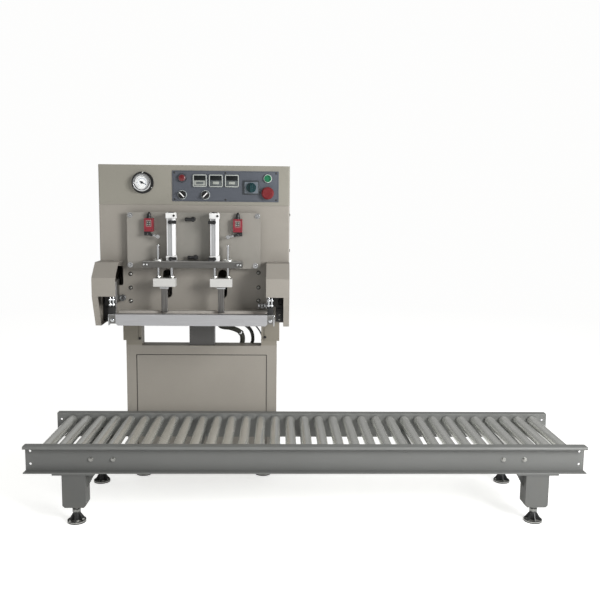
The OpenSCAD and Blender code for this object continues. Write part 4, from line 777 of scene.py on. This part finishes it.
# ---------------------------------------------------------------------------
# Operators: the stage, the finishes, and the pieces
# ---------------------------------------------------------------------------
class SEALER_OT_stage(bpy.types.Operator):
    """Set up the camera, the pale floor and the soft studio light"""

    bl_idname = "sealer.stage"
    bl_label = "Studio Stage"

    def execute(self, context):
        self.camera(context)
        if sizes().show_floor:
            self.floor(context)
        self.world(context)
        self.lamp(context, "key", 168.0, 1.5, at(2600, -3140, 2150), at(-500, -217, 1050))
        self.lamp(context, "fill", 7.0, 2.4, at(-3600, -3200, 1300), at(-400, 0, 700))
        context.scene.view_settings.view_transform = "Standard"
        return {"FINISHED"}

    def camera(self, context):
        """The camera that took the photo, fitted to the machine's edges."""
        yaw, pitch, roll = (math.radians(v) for v in CAMERA_TURN)
        level = Vector((-math.sin(yaw), math.cos(yaw), 0.0))
        forward = (level * math.cos(pitch) - UP * math.sin(pitch)).normalized()
        right = Vector((math.cos(yaw), math.sin(yaw), 0.0))
        right = right * math.cos(roll) + right.cross(forward) * math.sin(roll)
        data = bpy.data.cameras.new("photo_camera")
        data.sensor_width = SENSOR
        data.sensor_fit = "HORIZONTAL"
        data.lens = FOCAL_PIXELS / PHOTO_PIXELS * SENSOR
        data.clip_end = 200.0
        camera = bpy.data.objects.new("photo_camera", data)
        axes = Matrix((right, right.cross(forward), -forward)).transposed().to_4x4()
        camera.matrix_world = Matrix.Translation(at(*CAMERA_AT)) @ axes
        context.scene.collection.objects.link(camera)
        context.scene.camera = camera

    def floor(self, context):
        """A pale disc that shades near the machine and glows like the backdrop further out."""
        shape = bmesh.new()
        bmesh.ops.create_circle(shape, cap_ends=True, segments=64, radius=60.0)
        mesh = bpy.data.meshes.new("studio_floor")
        shape.to_mesh(mesh)
        shape.free()
        floor = bpy.data.objects.new("studio_floor", mesh)
        context.scene.collection.objects.link(floor)
        f = Finish("floor", "studio_floor")
        seen = f.choose(f.node("LightPath").outputs["Is Camera Ray"], 0.24, 0.66)
        f.set(Base_Color=(0.80, 0.80, 0.79), Roughness=0.9, Emission_Color=(1.0, 1.0, 0.99), Emission_Strength=seen)
        fade = f.limits(f.radius(f.parts[0], f.parts[1]), 2.2, 7.0)
        glow = f.node("Emission", BACKDROP)
        join = f.node("MixShader", fade, f.shader.outputs[0], glow.outputs[0])
        f.feed(f.nodes["Material Output"].inputs["Surface"], join.outputs[0])
        mesh.materials.append(FINISHES["floor"])

    def world(self, context):
        """A plain backdrop for the camera, and a dome for the light that is brighter overhead."""
        world = bpy.data.worlds.new("studio")
        context.scene.world = world
        world.use_nodes = True
        tree = Tree(world.node_tree)
        backdrop = tree.nodes["Background"]
        tree.feed(backdrop.inputs["Color"], BACKDROP)
        height = tree.node("SeparateXYZ", tree.node("TexCoord").outputs["Generated"]).outputs["Z"]
        rise = tree.node("MapRange", Value=height, To_Min=0.14, To_Max=0.60)
        dome = tree.node("Background", (1.0, 1.0, 0.985), rise.outputs["Result"])
        ray = tree.node("LightPath").outputs["Is Camera Ray"]
        join = tree.node("MixShader", ray, dome.outputs[0], backdrop.outputs[0])
        tree.feed(tree.nodes["World Output"].inputs["Surface"], join.outputs[0])

    def lamp(self, context, name, power, size, place, target):
        data = bpy.data.lights.new(name, "AREA")
        data.energy = power
        data.size = size
        lamp = bpy.data.objects.new(name, data)
        aim = (target - place).to_track_quat("-Z", "Y").to_matrix().to_4x4()
        lamp.matrix_world = Matrix.Translation(place) @ aim
        context.scene.collection.objects.link(lamp)


class SEALER_OT_finishes(bpy.types.Operator):
    """Make the finishes and put them on the nodes that come from the CAD"""

    bl_idname = "sealer.finishes"
    bl_label = "Finishes"

    def execute(self, context):
        make_finishes()
        for name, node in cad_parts.items():
            if not node.material_slots:
                raise RuntimeError(f"{name} has no material slot")
            for slot in node.material_slots:
                slot.material = FINISHES[NODE_FINISH.get(name, "roller")]
        return {"FINISHED"}


class SEALER_OT_conveyor_fasteners(bpy.types.Operator):
    """Bolts in the rails' webs and under their lower flanges"""

    bl_idname = "sealer.conveyor_fasteners"
    bl_label = "Conveyor Fasteners"

    def execute(self, context):
        webs, plates = Shape(), Shape()
        for end, places in ((-1, (-885, -986)), (1, (905, 1003))):
            for side in BOTH_SIDES:
                for x in places:
                    webs.hex_bolt(16, 22, at(x, CONVEYOR_Y + side * WEB_OUT, 296), -TO_FRONT * side)
                for dx in (-78, 78):
                    plates.hex_bolt(16, 21, at(end * LEG_X + dx, CONVEYOR_Y + side * 253, FLANGE_Z), -UP)
        webs.piece("rail_bolts", STAND, "zinc")
        plates.piece("leg_plate_bolts", STAND, "zinc")
        return {"FINISHED"}


class SEALER_OT_cabinet_trim(bpy.types.Operator):
    """Gasket line round the cabinet's access panel"""

    bl_idname = "sealer.cabinet_trim"
    bl_label = "Cabinet Trim"

    def execute(self, context):
        width, height, middle = PANEL_GAP
        gasket = Shape()
        gasket.frame(width, height, 2.6, 2.2, on_cabinet(0, -0.6, middle), 0.4)
        gasket.piece("access_panel_gasket", STAND, "rubber")
        return {"FINISHED"}


class SEALER_OT_hoses(bpy.types.Operator):
    """Ribbed hoses and the thin tube between the head and the deck"""

    bl_idname = "sealer.hoses"
    bl_label = "Hoses"

    def execute(self, context):
        s = sizes()
        for name, d, finish in (("suction_hose", s.hose_d, "hose"), ("cable_conduit", s.conduit_d, "conduit"),
                                ("air_tube", s.tube_d, "tube")):
            line, shape = self.line(name), Shape()
            if name == "air_tube":
                path = line[::10]
                shape.tube(path, [d / 2] * len(path), 16)
            else:
                shape.tube(*self.ribbed(line, d), 24)
            obj = shape.piece(name, None, finish, smooth=50.0)
            self.stretch(obj)
            if name == "suction_hose":
                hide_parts("vacuum_hoses")
        self.clamp()
        self.connector()
        return {"FINISHED"}

    def line(self, name):
        return smooth_line([on_cabinet(x, HOSE_BACK, z) for x, z in HOSE_ROUTES[name]], HOSE_STEPS)

    def stretch(self, obj):
        """Bake the piece's place into its mesh."""
        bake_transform(obj)

    def ribbed(self, line, d):
        """The points and radii of a tube with a rib in every pitch along the line."""
        run = [0.0]
        for a, b in zip(line, line[1:]):
            run.append(run[-1] + (b - a).length)
        count = round(run[-1] / sizes().rib_pitch)
        path, radii, k = [], [], 0
        for i in range(count):
            for share, drop in RIB:
                want = (i + share) * run[-1] / count
                while k < len(run) - 2 and run[k + 1] < want:
                    k += 1
                t = (want - run[k]) / max(run[k + 1] - run[k], 1e-9)
                path.append(line[k].lerp(line[k + 1], t))
                radii.append(d / 2 - drop * MM)
        return [*path, line[-1]], [*radii, d / 2 - RIB[0][1] * MM]

    def fitting_place(self, name, step):
        line = self.line(name)
        return line[step], (line[step + 2] - line[step - 2]).normalized()

    def clamp(self):
        """Worm-drive clamp half-way down the suction hose."""
        place, axis = self.fitting_place("suction_hose", 240)
        bore = sizes().hose_d / 2 / MM + 0.2
        shape = Shape()
        shape.turned([(bore, 0), (bore + 1.2, 0), (bore + 1.2, 11), (bore, 11)], place - axis * 0.0055, axis, 32)
        shape.block((12, 7, 9), place + TO_FRONT * (bore + 3.8) * MM, 1.0, axis=axis)
        self.stretch(shape.piece("hose_clamp", None, "chrome"))

    def connector(self):
        """Push-in connector in the thin tube."""
        place, axis = self.fitting_place("air_tube", 222)
        shape = Shape()
        shape.turned([(4.1, 0), (7.5, 0), (8.5, 2), (8.5, 10), (7.2, 12), (7.2, 18), (8.5, 20), (8.5, 24), (4.1, 24)],
                     place - axis * 0.012, axis, 28)
        self.stretch(shape.piece("tube_connector", None, "black"))


class SEALER_OT_head_fasteners(bpy.types.Operator):
    """Bolts, washers and small fittings on the head, its plate and its covers"""

    bl_idname = "sealer.head_fasteners"
    bl_label = "Head Fasteners"

    def execute(self, context):
        plate, bar, rings, face, sides = Shape(), Shape(), Shape(), Shape(), Shape()
        for x, z in ((-297, 1397), (297, 1397), (-300, 1164), (288, 1164)):
            plate.socket_bolt(14, on_face(x, PLATE_OUT, z), washer=sizes().bolt_d / MM)
        for x in (-222, -208, 208, 222):
            bar.socket_bolt(9.5, on_face(x, BAR_OUT, 1173))
        for x, heights in ((-306, (1118, 1052, 989)), (302, (1128, 1057, 994))):
            for z in heights:
                rings.rod(20, 1.2, on_face(x, 0, z), TO_FRONT, 0.4)
                face.pan_screw(13.5, on_face(x, 1.2, z))
        for side in BOTH_SIDES:
            face.pan_screw(9.5, on_face(side * 385, 0, 1180))
            for z in (1400, 1222):
                sides.hex_bolt(12, 18, at(MIDDLE_X + side * 448, 0, z), TO_RIGHT * side)
        rings.piece("face_bolt_rings", HEAD, "dark_steel")
        plate.piece("plate_bolts", HEAD, "steel")
        bar.piece("cross_bar_bolts", HEAD, "chrome")
        face.piece("face_bolts", HEAD, "zinc")
        sides.piece("head_side_bolts", HEAD, "zinc")
        self.clamp_knobs()
        self.guide_flanges()
        self.face_clamps()
        self.slot_rims()
        self.shade_plates()
        return {"FINISHED"}

    def clamp_knobs(self):
        knob = Shape()
        for x, z in ((-319, 755), (330, 765)):
            knob.turned([(0, 0), (5, 0), (6.5, 3), (6.5, 9), (5.2, 11), (0, 11.5)],
                        on_cabinet(x, SLEEVE_BACK, z), TO_FRONT, 24)
        knob.piece("sleeve_clamp_knobs", HEAD, "black")

    def guide_flanges(self):
        """A bright disc round each guide rod on the cross bar, with its screws."""
        screws, discs = Shape(), Shape()
        for x in (-GUIDE_X, GUIDE_X):
            for dx in (-14, 14):
                screws.socket_bolt(5.5, on_face(x + dx, CYLINDER_OUT, BAR_TOP + 6), UP)
            discs.turned([(12.5, 0), (22.5, 0), (22.5, 3.4), (21.5, 4.2), (12.5, 4.2)],
                         on_face(x, CYLINDER_OUT, BAR_TOP + 0.1), UP, 48)
        screws.piece("guide_flange_screws", HEAD, "zinc")
        discs.piece("guide_flange_discs", HEAD, "cap_alloy")

    def face_clamps(self):
        """Clamp ring on the left of the face, and the short rods with their clamp on the right."""
        clamps = Shape()
        start = on_face(-341, 0, 1006)
        clamps.rod(12, 18, start, TO_FRONT)
        clamps.turned([(11.5, 14), (15.5, 14), (16.5, 16), (16.5, 24), (15.5, 26), (11.5, 26)], start, TO_FRONT, 40)
        clamps.rod(25, 4, start + TO_FRONT * 0.015, TO_FRONT)
        for z in (979, 962):
            clamps.rod(5.2, 44, on_face(299, 22, z), TO_RIGHT, 0.5)
        for x, width in ((306, 10), (336, 12)):
            clamps.block((width, 22, 26), on_face(x, 20, 970.5), 1.5)
        clamps.rod(14, 20, on_face(321, 0, 970.5), TO_FRONT, 1.0)
        clamps.piece("face_clamps", HEAD, "steel")

    def slot_rims(self):
        """Thin rims round the slots that the jaw's drive passes through."""
        rims = Shape()
        outer, inner = rounded_rectangle(46, 102, 19, 8), rounded_rectangle(37.2, 93.2, 10, 8)
        for side in BOTH_SIDES:
            middle = on_face(side * 359, 0.1, 1110)
            loops = [[rims.bm.verts.new(middle + at(x, -out, z)) for x, z in line]
                     for line, out in ((outer, 0), (outer, 2.2), (inner, 2.2), (inner, 0))]
            for near, far in zip(loops, loops[1:] + loops[:1]):
                for k in range(len(near)):
                    rims.bm.faces.new((near[k - 1], near[k], far[k], far[k - 1]))
        rims.piece("side_slot_rims", HEAD, "enamel", smooth=50.0)

    def shade_plates(self):
        """Black sheets on the face inside the covers, put there as painted shade, with a bushed hole and screws."""
        plates, screws = Shape(), Shape()
        for side in BOTH_SIDES:
            plates.plate(52, 180, 6, 3.0, on_face(side * 412, 0.2, 982), 0.6)
            plates.turned([(8.5, 0), (12.5, 0), (12.5, 10), (8.5, 10)], on_face(side * 403, 3, 964), TO_FRONT, 32)
            for z in (904, 927):
                screws.pan_screw(9, on_face(side * 403, 3.1, z))
        plates.piece("cover_shade_plates", HEAD, "black")
        screws.piece("shade_plate_screws", HEAD, "zinc")


class SEALER_OT_cylinders(bpy.types.Operator):
    """Nozzle cylinders on the cross bar, their elbows, and the guided cylinders behind the covers"""

    bl_idname = "sealer.cylinders"
    bl_label = "Air Cylinders"

    def execute(self, context):
        barrels, caps, dark, elbows, bright = Shape(), Shape(), Shape(), Shape(), Shape()
        for side in BOTH_SIDES:
            x = side * CYLINDER_X
            self.barrel(barrels, x)
            self.caps(caps, dark, bright, x)
            for z in (BAR_TOP + 12, BAR_TOP + 180):
                self.elbow(elbows, on_face(x, CYLINDER_OUT + 19.5, z), -TO_RIGHT * side, ELBOW)
        for x, z in ((-3, 1380), (8, BAR_TOP + 14)):
            self.elbow(elbows, on_face(x, PLATE_OUT, z), -TO_RIGHT, UNION)
        barrels.piece("cylinder_barrels", HEAD, "barrel", slot="cylinder_alloy", replaces=("air_cylinders",))
        caps.piece("cylinder_caps", HEAD, "cap_alloy", slot="cylinder_alloy")
        dark.piece("cylinder_glands", HEAD, "dark_steel")
        elbows.piece("air_elbows", HEAD, "black")
        bright.piece("cylinder_screws", HEAD, "zinc")
        self.jaw_cylinders()
        return {"FINISHED"}

    def barrel(self, shape, x):
        """Extruded profile: rounded corners and a groove down the middle of every side."""
        half, corner, groove, deep = 19.5, 4.5, 4.2, 2.2
        side = [(-groove, -half), (-groove, deep - half), (groove, deep - half), (groove, -half),
                (half - corner, -half), (half - corner * 0.3, corner * 0.3 - half), (half, corner - half)]
        foot = on_face(x, CYLINDER_OUT, BAR_TOP + 12)
        points = []
        for k in range(4):
            c, s = math.cos(k * math.pi / 2), math.sin(k * math.pi / 2)
            points += [foot + at(px * c - py * s, px * s + py * c, 0) for px, py in side]
        shape.extruded(points, UP * 0.198)

    def caps(self, caps, dark, bright, x):
        for low, height in ((BAR_TOP + 0.2, 24), (BAR_TOP + 196, 26)):
            middle = on_face(x, CYLINDER_OUT, low + height / 2)
            caps.block((46.2, 46.2, height), middle, 2.2, 3)
            for dx in (-16.5, 16.5):
                for dy in (-16.5, 16.5):
                    bright.socket_bolt(6.2, middle + at(dx, dy, height / 2), UP)
        dark.rod(11, 1.6, on_face(x + 15, CYLINDER_OUT + 23.4, BAR_TOP + 209), TO_FRONT, 0.4)
        dark.rod(20, 4, on_face(x, CYLINDER_OUT, BAR_TOP + 222), UP, 0.6)

    def elbow(self, shape, start, axis, form):
        """An elbow's nut, its barrel towards the front and its push-in body along the axis."""
        across, edge, d, length, out, body = form
        shape.hexagon(across, 7, start, TO_FRONT, edge)
        shape.rod(d, length, start + TO_FRONT * 0.006, TO_FRONT, 1.0)
        shape.turned(body, start + TO_FRONT * out * MM, axis, 28)

    def jaw_cylinders(self):
        """Bodies of the guided cylinders that pull the front jaw back, with their end plates and rods."""
        body, plates = Shape(), Shape()
        for side in BOTH_SIDES:
            body.block((38, 81, 110), on_face(side * 378, 43, JAW_CYLINDER_Z), 1.6)
            plates.block((37, 4, 108), on_face(side * 378, 85.2, JAW_CYLINDER_Z), 0.8)
            for dz in (-30, 0, 30):
                plates.rod(22, 3, on_face(side * 370, 86.5, JAW_CYLINDER_Z + dz), TO_FRONT, 0.5)
        body.piece("jaw_cylinder_bodies", HEAD, "grey_steel", slot="cylinder_alloy")
        plates.piece("jaw_cylinder_ends", HEAD, "dark_steel")


class SEALER_OT_nozzle_fittings(bpy.types.Operator):
    """Nuts on the rods, caps on the guide rods and the clamps on the nozzles' pipes"""

    bl_idname = "sealer.nozzle_fittings"
    bl_label = "Nozzle Fittings"

    def execute(self, context):
        for name, side in (("left_nozzle", -1), ("right_nozzle", 1)):
            nuts, cap, clamp = Shape(), Shape(), Shape()
            for x in (CYLINDER_X, GUIDE_X):
                foot = on_face(side * x, CYLINDER_OUT, NOZZLE_TOP)
                nuts.hexagon(21, 9, foot, UP, 0.8)
                nuts.rod(24, 1.5, foot, UP)
            cap.rod(17, 3.5, on_face(side * GUIDE_X, CYLINDER_OUT, NOZZLE_TOP + 150), UP, 0.8)
            clamp.block((40, 16, 10), on_face(side * 131, 101, 1065.5), 1.2)
            nuts.piece(name + "_nuts", name, "zinc")
            cap.piece(name + "_rod_cap", name, "steel")
            clamp.piece(name + "_clamp", name, "steel")
        return {"FINISHED"}


class SEALER_OT_switch_details(bpy.types.Operator):
    """Cover outlines, screws and glands of the limit switches, and the grips and pins of their levers"""

    bl_idname = "sealer.switch_details"
    bl_label = "Limit Switches"

    def execute(self, context):
        outline, marks, glands = Shape(), Shape(), Shape()
        for x in (-SWITCH_X, SWITCH_X):
            outline.frame(24, 29, 1.8, 1.2, on_face(x, SWITCH_OUT + 0.3, SWITCH_Z), 0.3, inset=1.8)
            marks.block((17.5, 0.8, 21.5), on_face(x, SWITCH_OUT + 0.2, SWITCH_Z), 0.4)
            for dx in (-4.4, 4.4):
                for dz in (-5.2, 5.2):
                    outline.block((5.2, 0.8, 5.6), on_face(x + dx, SWITCH_OUT + 0.9, SWITCH_Z + dz), 0.4)
            for dx in (-15, 15):
                for z in (SWITCH_Z - 29, SWITCH_Z + 18):
                    marks.pan_screw(4.8, on_face(x + dx, SWITCH_OUT, z))
            self.gland(glands, on_face(x, SWITCH_OUT - 15, SWITCH_Z + 23))
        outline.piece("switch_outlines", HEAD, "label")
        marks.piece("switch_marks", HEAD, "dark_steel")
        glands.piece("switch_glands", HEAD, "black")
        for side, name in ((-1, "left_switch_lever"), (1, "right_switch_lever")):
            self.lever(name, side)
        return {"FINISHED"}

    def gland(self, shape, foot):
        """A ribbed gland nut under a cone that holds the cable."""
        shape.turned([(0, 0), (9.8, 0), (9.8, 8), (9.2, 9), (9.2, 15), (7, 23), (3.4, 29), (3, 30), (0, 30)],
                     foot, UP, 28)
        for k in range(10):
            angle = 2 * math.pi * k / 10
            shape.block((1.6, 3, 7), foot + at(math.cos(angle) * 9.4, math.sin(angle) * 9.4, 4.5), turn=angle)

    def lever(self, name, side):
        """Nut on the lever's shaft, black grip on its arm, and the pins that hold its roller."""
        nut, grip, pins = Shape(), Shape(), Shape()
        nut.hexagon(13, 5, on_face(side * LEVER_X, LEVER_OUT + 0.2, LEVER_Z), TO_FRONT, 0.5)
        shaft = on_face(side * LEVER_X, LEVER_OUT, LEVER_Z)
        along = (on_face(side * GUIDE_X, LEVER_OUT, LEVER_Z - 13) - shaft).normalized()
        grip.block((12, 4.5, 22), shaft + along * 0.019, 1.2, axis=along)
        for reach in (0.034, 0.043):
            pins.rod(7.5, 4, shaft + along * reach + TO_FRONT * 0.0005, TO_FRONT, 0.6)
        nut.piece(name + "_nut", name, "black")
        grip.piece(name + "_grip", name, "black")
        pins.piece(name + "_pins", name, "steel")


class SEALER_OT_jaw_fittings(bpy.types.Operator):
    """Hanger studs with their nuts, rubber blocks and end straps of the front jaw"""

    bl_idname = "sealer.jaw_fittings"
    bl_label = "Jaw Fittings"

    def execute(self, context):
        studs, blocks, straps = Shape(), Shape(), Shape()
        for side in BOTH_SIDES:
            x = side * HANGER_X
            for dx in (-7, 7):
                studs.rod(8, 50, on_face(x + dx, 166, 985), UP, 0.6)
                for z in (989, 1012):
                    studs.hexagon(13, 7, on_face(x + dx, 166, z), UP, 0.6)
            studs.hex_bolt(13, 18, on_face(x, JAW_OUT + 0.5, JAW_Z))
            blocks.block((28, 22, 30), on_face(x, 165, 968), 1.2)
            straps.block((3, 30, 50), on_face(side * 379, 147, JAW_Z), 0.8)
            straps.block((30, 3, 4), on_face(side * 364, JAW_OUT, JAW_Z + 25), 0.8)
            straps.block((4, 3, 50), on_face(side * 377, JAW_OUT, JAW_Z), 0.8)
        studs.piece("jaw_hanger_studs", "front_jaw", "rod_chrome")
        blocks.piece("jaw_hanger_blocks", "front_jaw", "rubber")
        straps.piece("jaw_end_straps", "front_jaw", "steel")
        return {"FINISHED"}


class SEALER_OT_panel_devices(bpy.types.Operator):
    """Rings, lamp, meters, screws and pointer marks on the control panel"""

    bl_idname = "sealer.panel_devices"
    bl_label = "Control Panel"

    def execute(self, context):
        self.plate()
        self.rings()
        self.meters()
        self.main_switch()
        self.pointers()
        return {"FINISHED"}

    def plate(self):
        screws, line = Shape(), Shape()
        for x in (-238, 0, 238):
            for z in (-62, 62):
                screws.pan_screw(8.5, on_panel(x, 0, z))
        line.frame(489, 133, 0.8, 0.6, on_panel(0, 0.1, 0))
        screws.piece("panel_screws", HEAD, "dark_steel")
        line.piece("panel_edge_line", HEAD, "charcoal")

    def ring(self, shape, x, up, bore):
        """The raised ring round a device, with a bore for it."""
        inner, outer, out = bore / 2, 21.4, 5.5
        shape.turned([(inner, 0), (outer, 0), (outer, out - 1.6), (outer - 1.4, out), (inner + 0.8, out),
                      (inner, out - 0.8)], on_panel(x, 0, up), TO_FRONT, 48)

    def rings(self):
        """The rings, the lens of the lamp, and the ring and flange of the start button."""
        dark, pale, start, flange, lens = Shape(), Shape(), Shape(), Shape(), Shape()
        for x, up, bore in ((LAMP_X, LAMP_UP, 34.4), (START_X, START_UP, 27.0), (START_X, -30, 25.2)):
            self.ring(dark, x, up, bore)
        for _, x, _ in SELECTORS:
            self.ring(pale, x, SELECTOR_UP, 37.0)
        start.turned([(16.8, 0), (19.4, 0), (19.4, 0.4), (18.6, 1.0), (16.8, 1.0)],
                     on_panel(START_X, 5.45, START_UP), TO_FRONT, 48)
        flange.turned([(12.6, 0), (15.8, 0), (16.4, 0.6), (16.4, 1.8), (15.6, 2.6), (12.6, 2.6)],
                      on_panel(START_X, 9.7, START_UP), TO_FRONT, 48)
        r = 17.05
        lens.turned([(0, 0), (r, 0), (r, 11.5), (r * 0.93, 13.8), (r * 0.75, 15.5), (r * 0.4, 16.6), (0, 16.9)],
                    on_panel(LAMP_X, 0, LAMP_UP), TO_FRONT, 48)
        flange.piece("start_button_flange", "start_button", "green")
        pale.piece("selector_rings", HEAD, "start_ring")
        dark.piece("lamp_and_stop_rings", HEAD, "charcoal")
        start.piece("start_ring", HEAD, "start_ring")
        lens.piece("mains_lamp", HEAD, "lens")

    def meters(self):
        """Three meters, each with a frame, a window and a field of keys below it."""
        frames, windows, bodies, keys = Shape(), Shape(), Shape(), Shape()
        for i, x in enumerate((-120, -45, 30)):
            frames.frame(64.4, 57.4, 4.4, 9.4, on_panel(x, 4.7, 25), 0.9, inset=4.4)
            windows.plate(53.5, 20.5, 1.2, 1.2, on_panel(x, 5.2, 37.5), 0.3)
            field, inlay = (bodies, keys) if i else (keys, bodies)
            field.plate(53.5, 23.5, 0.8, 0.9, on_panel(x, 5.2, 14.2), 0.3)
            if i:
                inlay.plate(29, 12.5, 1.2, 2.2, on_panel(x, 5.8, 15.5), 0.5)
            else:
                inlay.plate(34, 10.5, 0.8, 0.6, on_panel(x, 6.0, 14.5), 0.2)
        frames.piece("meter_frames", HEAD, "pale_frame")
        windows.piece("meter_windows", HEAD, "window")
        bodies.piece("meter_bodies", HEAD, "mid_grey")
        keys.piece("meter_keys", HEAD, "label")

    def main_switch(self):
        surround, field = Shape(), Shape()
        surround.plate(76.6, 65.6, 4, 6.4, on_panel(121, 0, -5), 1.2)
        field.plate(62, 52, 3, 0.4, on_panel(121, 6.3, -5))
        surround.piece("switch_surround", HEAD, "charcoal")
        field.piece("switch_field", HEAD, "blue_grey")

    def pointers(self):
        """A white mark on each selector, turned with its knob."""
        for name, x, turn in SELECTORS:
            mark = Shape()
            mark.block((4.6, 1.0, 30), on_panel(x, 22.2, SELECTOR_UP), 0.3)
            bmesh.ops.rotate(mark.bm, verts=mark.bm.verts, cent=on_panel(x, 0, SELECTOR_UP),
                             matrix=Matrix.Rotation(math.radians(-turn), 3, "Y"))
            mark.piece(name + "_pointer", name, "white_mark")


class SEALER_OT_gauge(bpy.types.Operator):
    """Dial, marks, bezel and screws of the vacuum gauge"""

    bl_idname = "sealer.gauge"
    bl_label = "Vacuum Gauge"

    def execute(self, context):
        dial, bezel, screws = Shape(), Shape(), Shape()
        dial.turned([(0, 0), (32.9, 0), (32.9, 0.4), (2.7, 0.4), (2.7, 0.2), (0, 0.2)],
                    on_face(GAUGE_X, 24.05, GAUGE_Z), TO_FRONT, 56)
        bezel.turned([(33.1, 0), (41.6, 0), (41.6, 6), (40.4, 7.8), (38, 8.6), (34.4, 8.2), (33.1, 6.6)],
                     on_face(GAUGE_X, 24.2, GAUGE_Z), TO_FRONT, 56)
        for i in range(3):
            angle = math.radians(90 + 120 * i)
            place = on_face(GAUGE_X, 5, GAUGE_Z) + at(math.cos(angle), 0, math.sin(angle)) * 46.2
            screws.pan_screw(7, place)
        dial.piece("gauge_dial", HEAD, "dial")
        self.marks()
        bezel.piece("gauge_bezel", HEAD, "chrome")
        screws.piece("gauge_screws", HEAD, "zinc")
        return {"FINISHED"}

    def marks(self):
        """Marks over three quarters of the dial, every fifth one longer and thicker."""
        marks = Shape()
        count = sizes().tick_count
        for i in range(count):
            angle = math.radians(-135 + 270 * i / (count - 1))
            thick, length = (0.7, 3.6) if i % 5 else (1.2, 6.2)
            out = at(math.sin(angle), 0, math.cos(angle)) * (29.0 - length / 2)
            place = on_face(GAUGE_X, 24.6, GAUGE_Z) + out
            start = len(marks.bm.verts)
            marks.block((thick, 0.3, length), place)
            marks.bm.verts.ensure_lookup_table()
            bmesh.ops.rotate(marks.bm, verts=marks.bm.verts[start:], cent=place,
                             matrix=Matrix.Rotation(angle, 3, "Y"))
        marks.piece("gauge_marks", HEAD, "needle")


OPERATORS = (
    SEALER_OT_stage,
    SEALER_OT_finishes,
    SEALER_OT_conveyor_fasteners,
    SEALER_OT_cabinet_trim,
    SEALER_OT_hoses,
    SEALER_OT_head_fasteners,
    SEALER_OT_cylinders,
    SEALER_OT_nozzle_fittings,
    SEALER_OT_switch_details,
    SEALER_OT_jaw_fittings,
    SEALER_OT_panel_devices,
    SEALER_OT_gauge,
)


class SEALER_PT_panel(bpy.types.Panel):
    """Lists the pieces of the machine, with the sizes and colours that shape them"""

    bl_idname = "SEALER_PT_panel"
    bl_label = "Bag Sealing Machine"
    bl_space_type = "VIEW_3D"
    bl_region_type = "UI"
    bl_category = "Sealer"

    def draw(self, context):
        layout = self.layout
        for group in (context.scene.sealer_colours, context.scene.sealer_sizes):
            box = layout.box()
            for name in group.__annotations__:
                box.prop(group, name)
        column = layout.column(align=True)
        for operator in OPERATORS:
            column.operator(operator.bl_idname)


CLASSES = (SealerColours, SealerSizes, *OPERATORS, SEALER_PT_panel)


def register():
    for cls in CLASSES:
        bpy.utils.register_class(cls)
    bpy.types.Scene.sealer_colours = PointerProperty(type=SealerColours)
    bpy.types.Scene.sealer_sizes = PointerProperty(type=SealerSizes)


def unregister():
    del bpy.types.Scene.sealer_sizes
    del bpy.types.Scene.sealer_colours
    for cls in reversed(CLASSES):
        bpy.utils.unregister_class(cls)


def main():
    register()
    for operator in OPERATORS:
        category, name = operator.bl_idname.split(".")
        getattr(getattr(bpy.ops, category), name)()


if __name__ == "__main__":
    main()
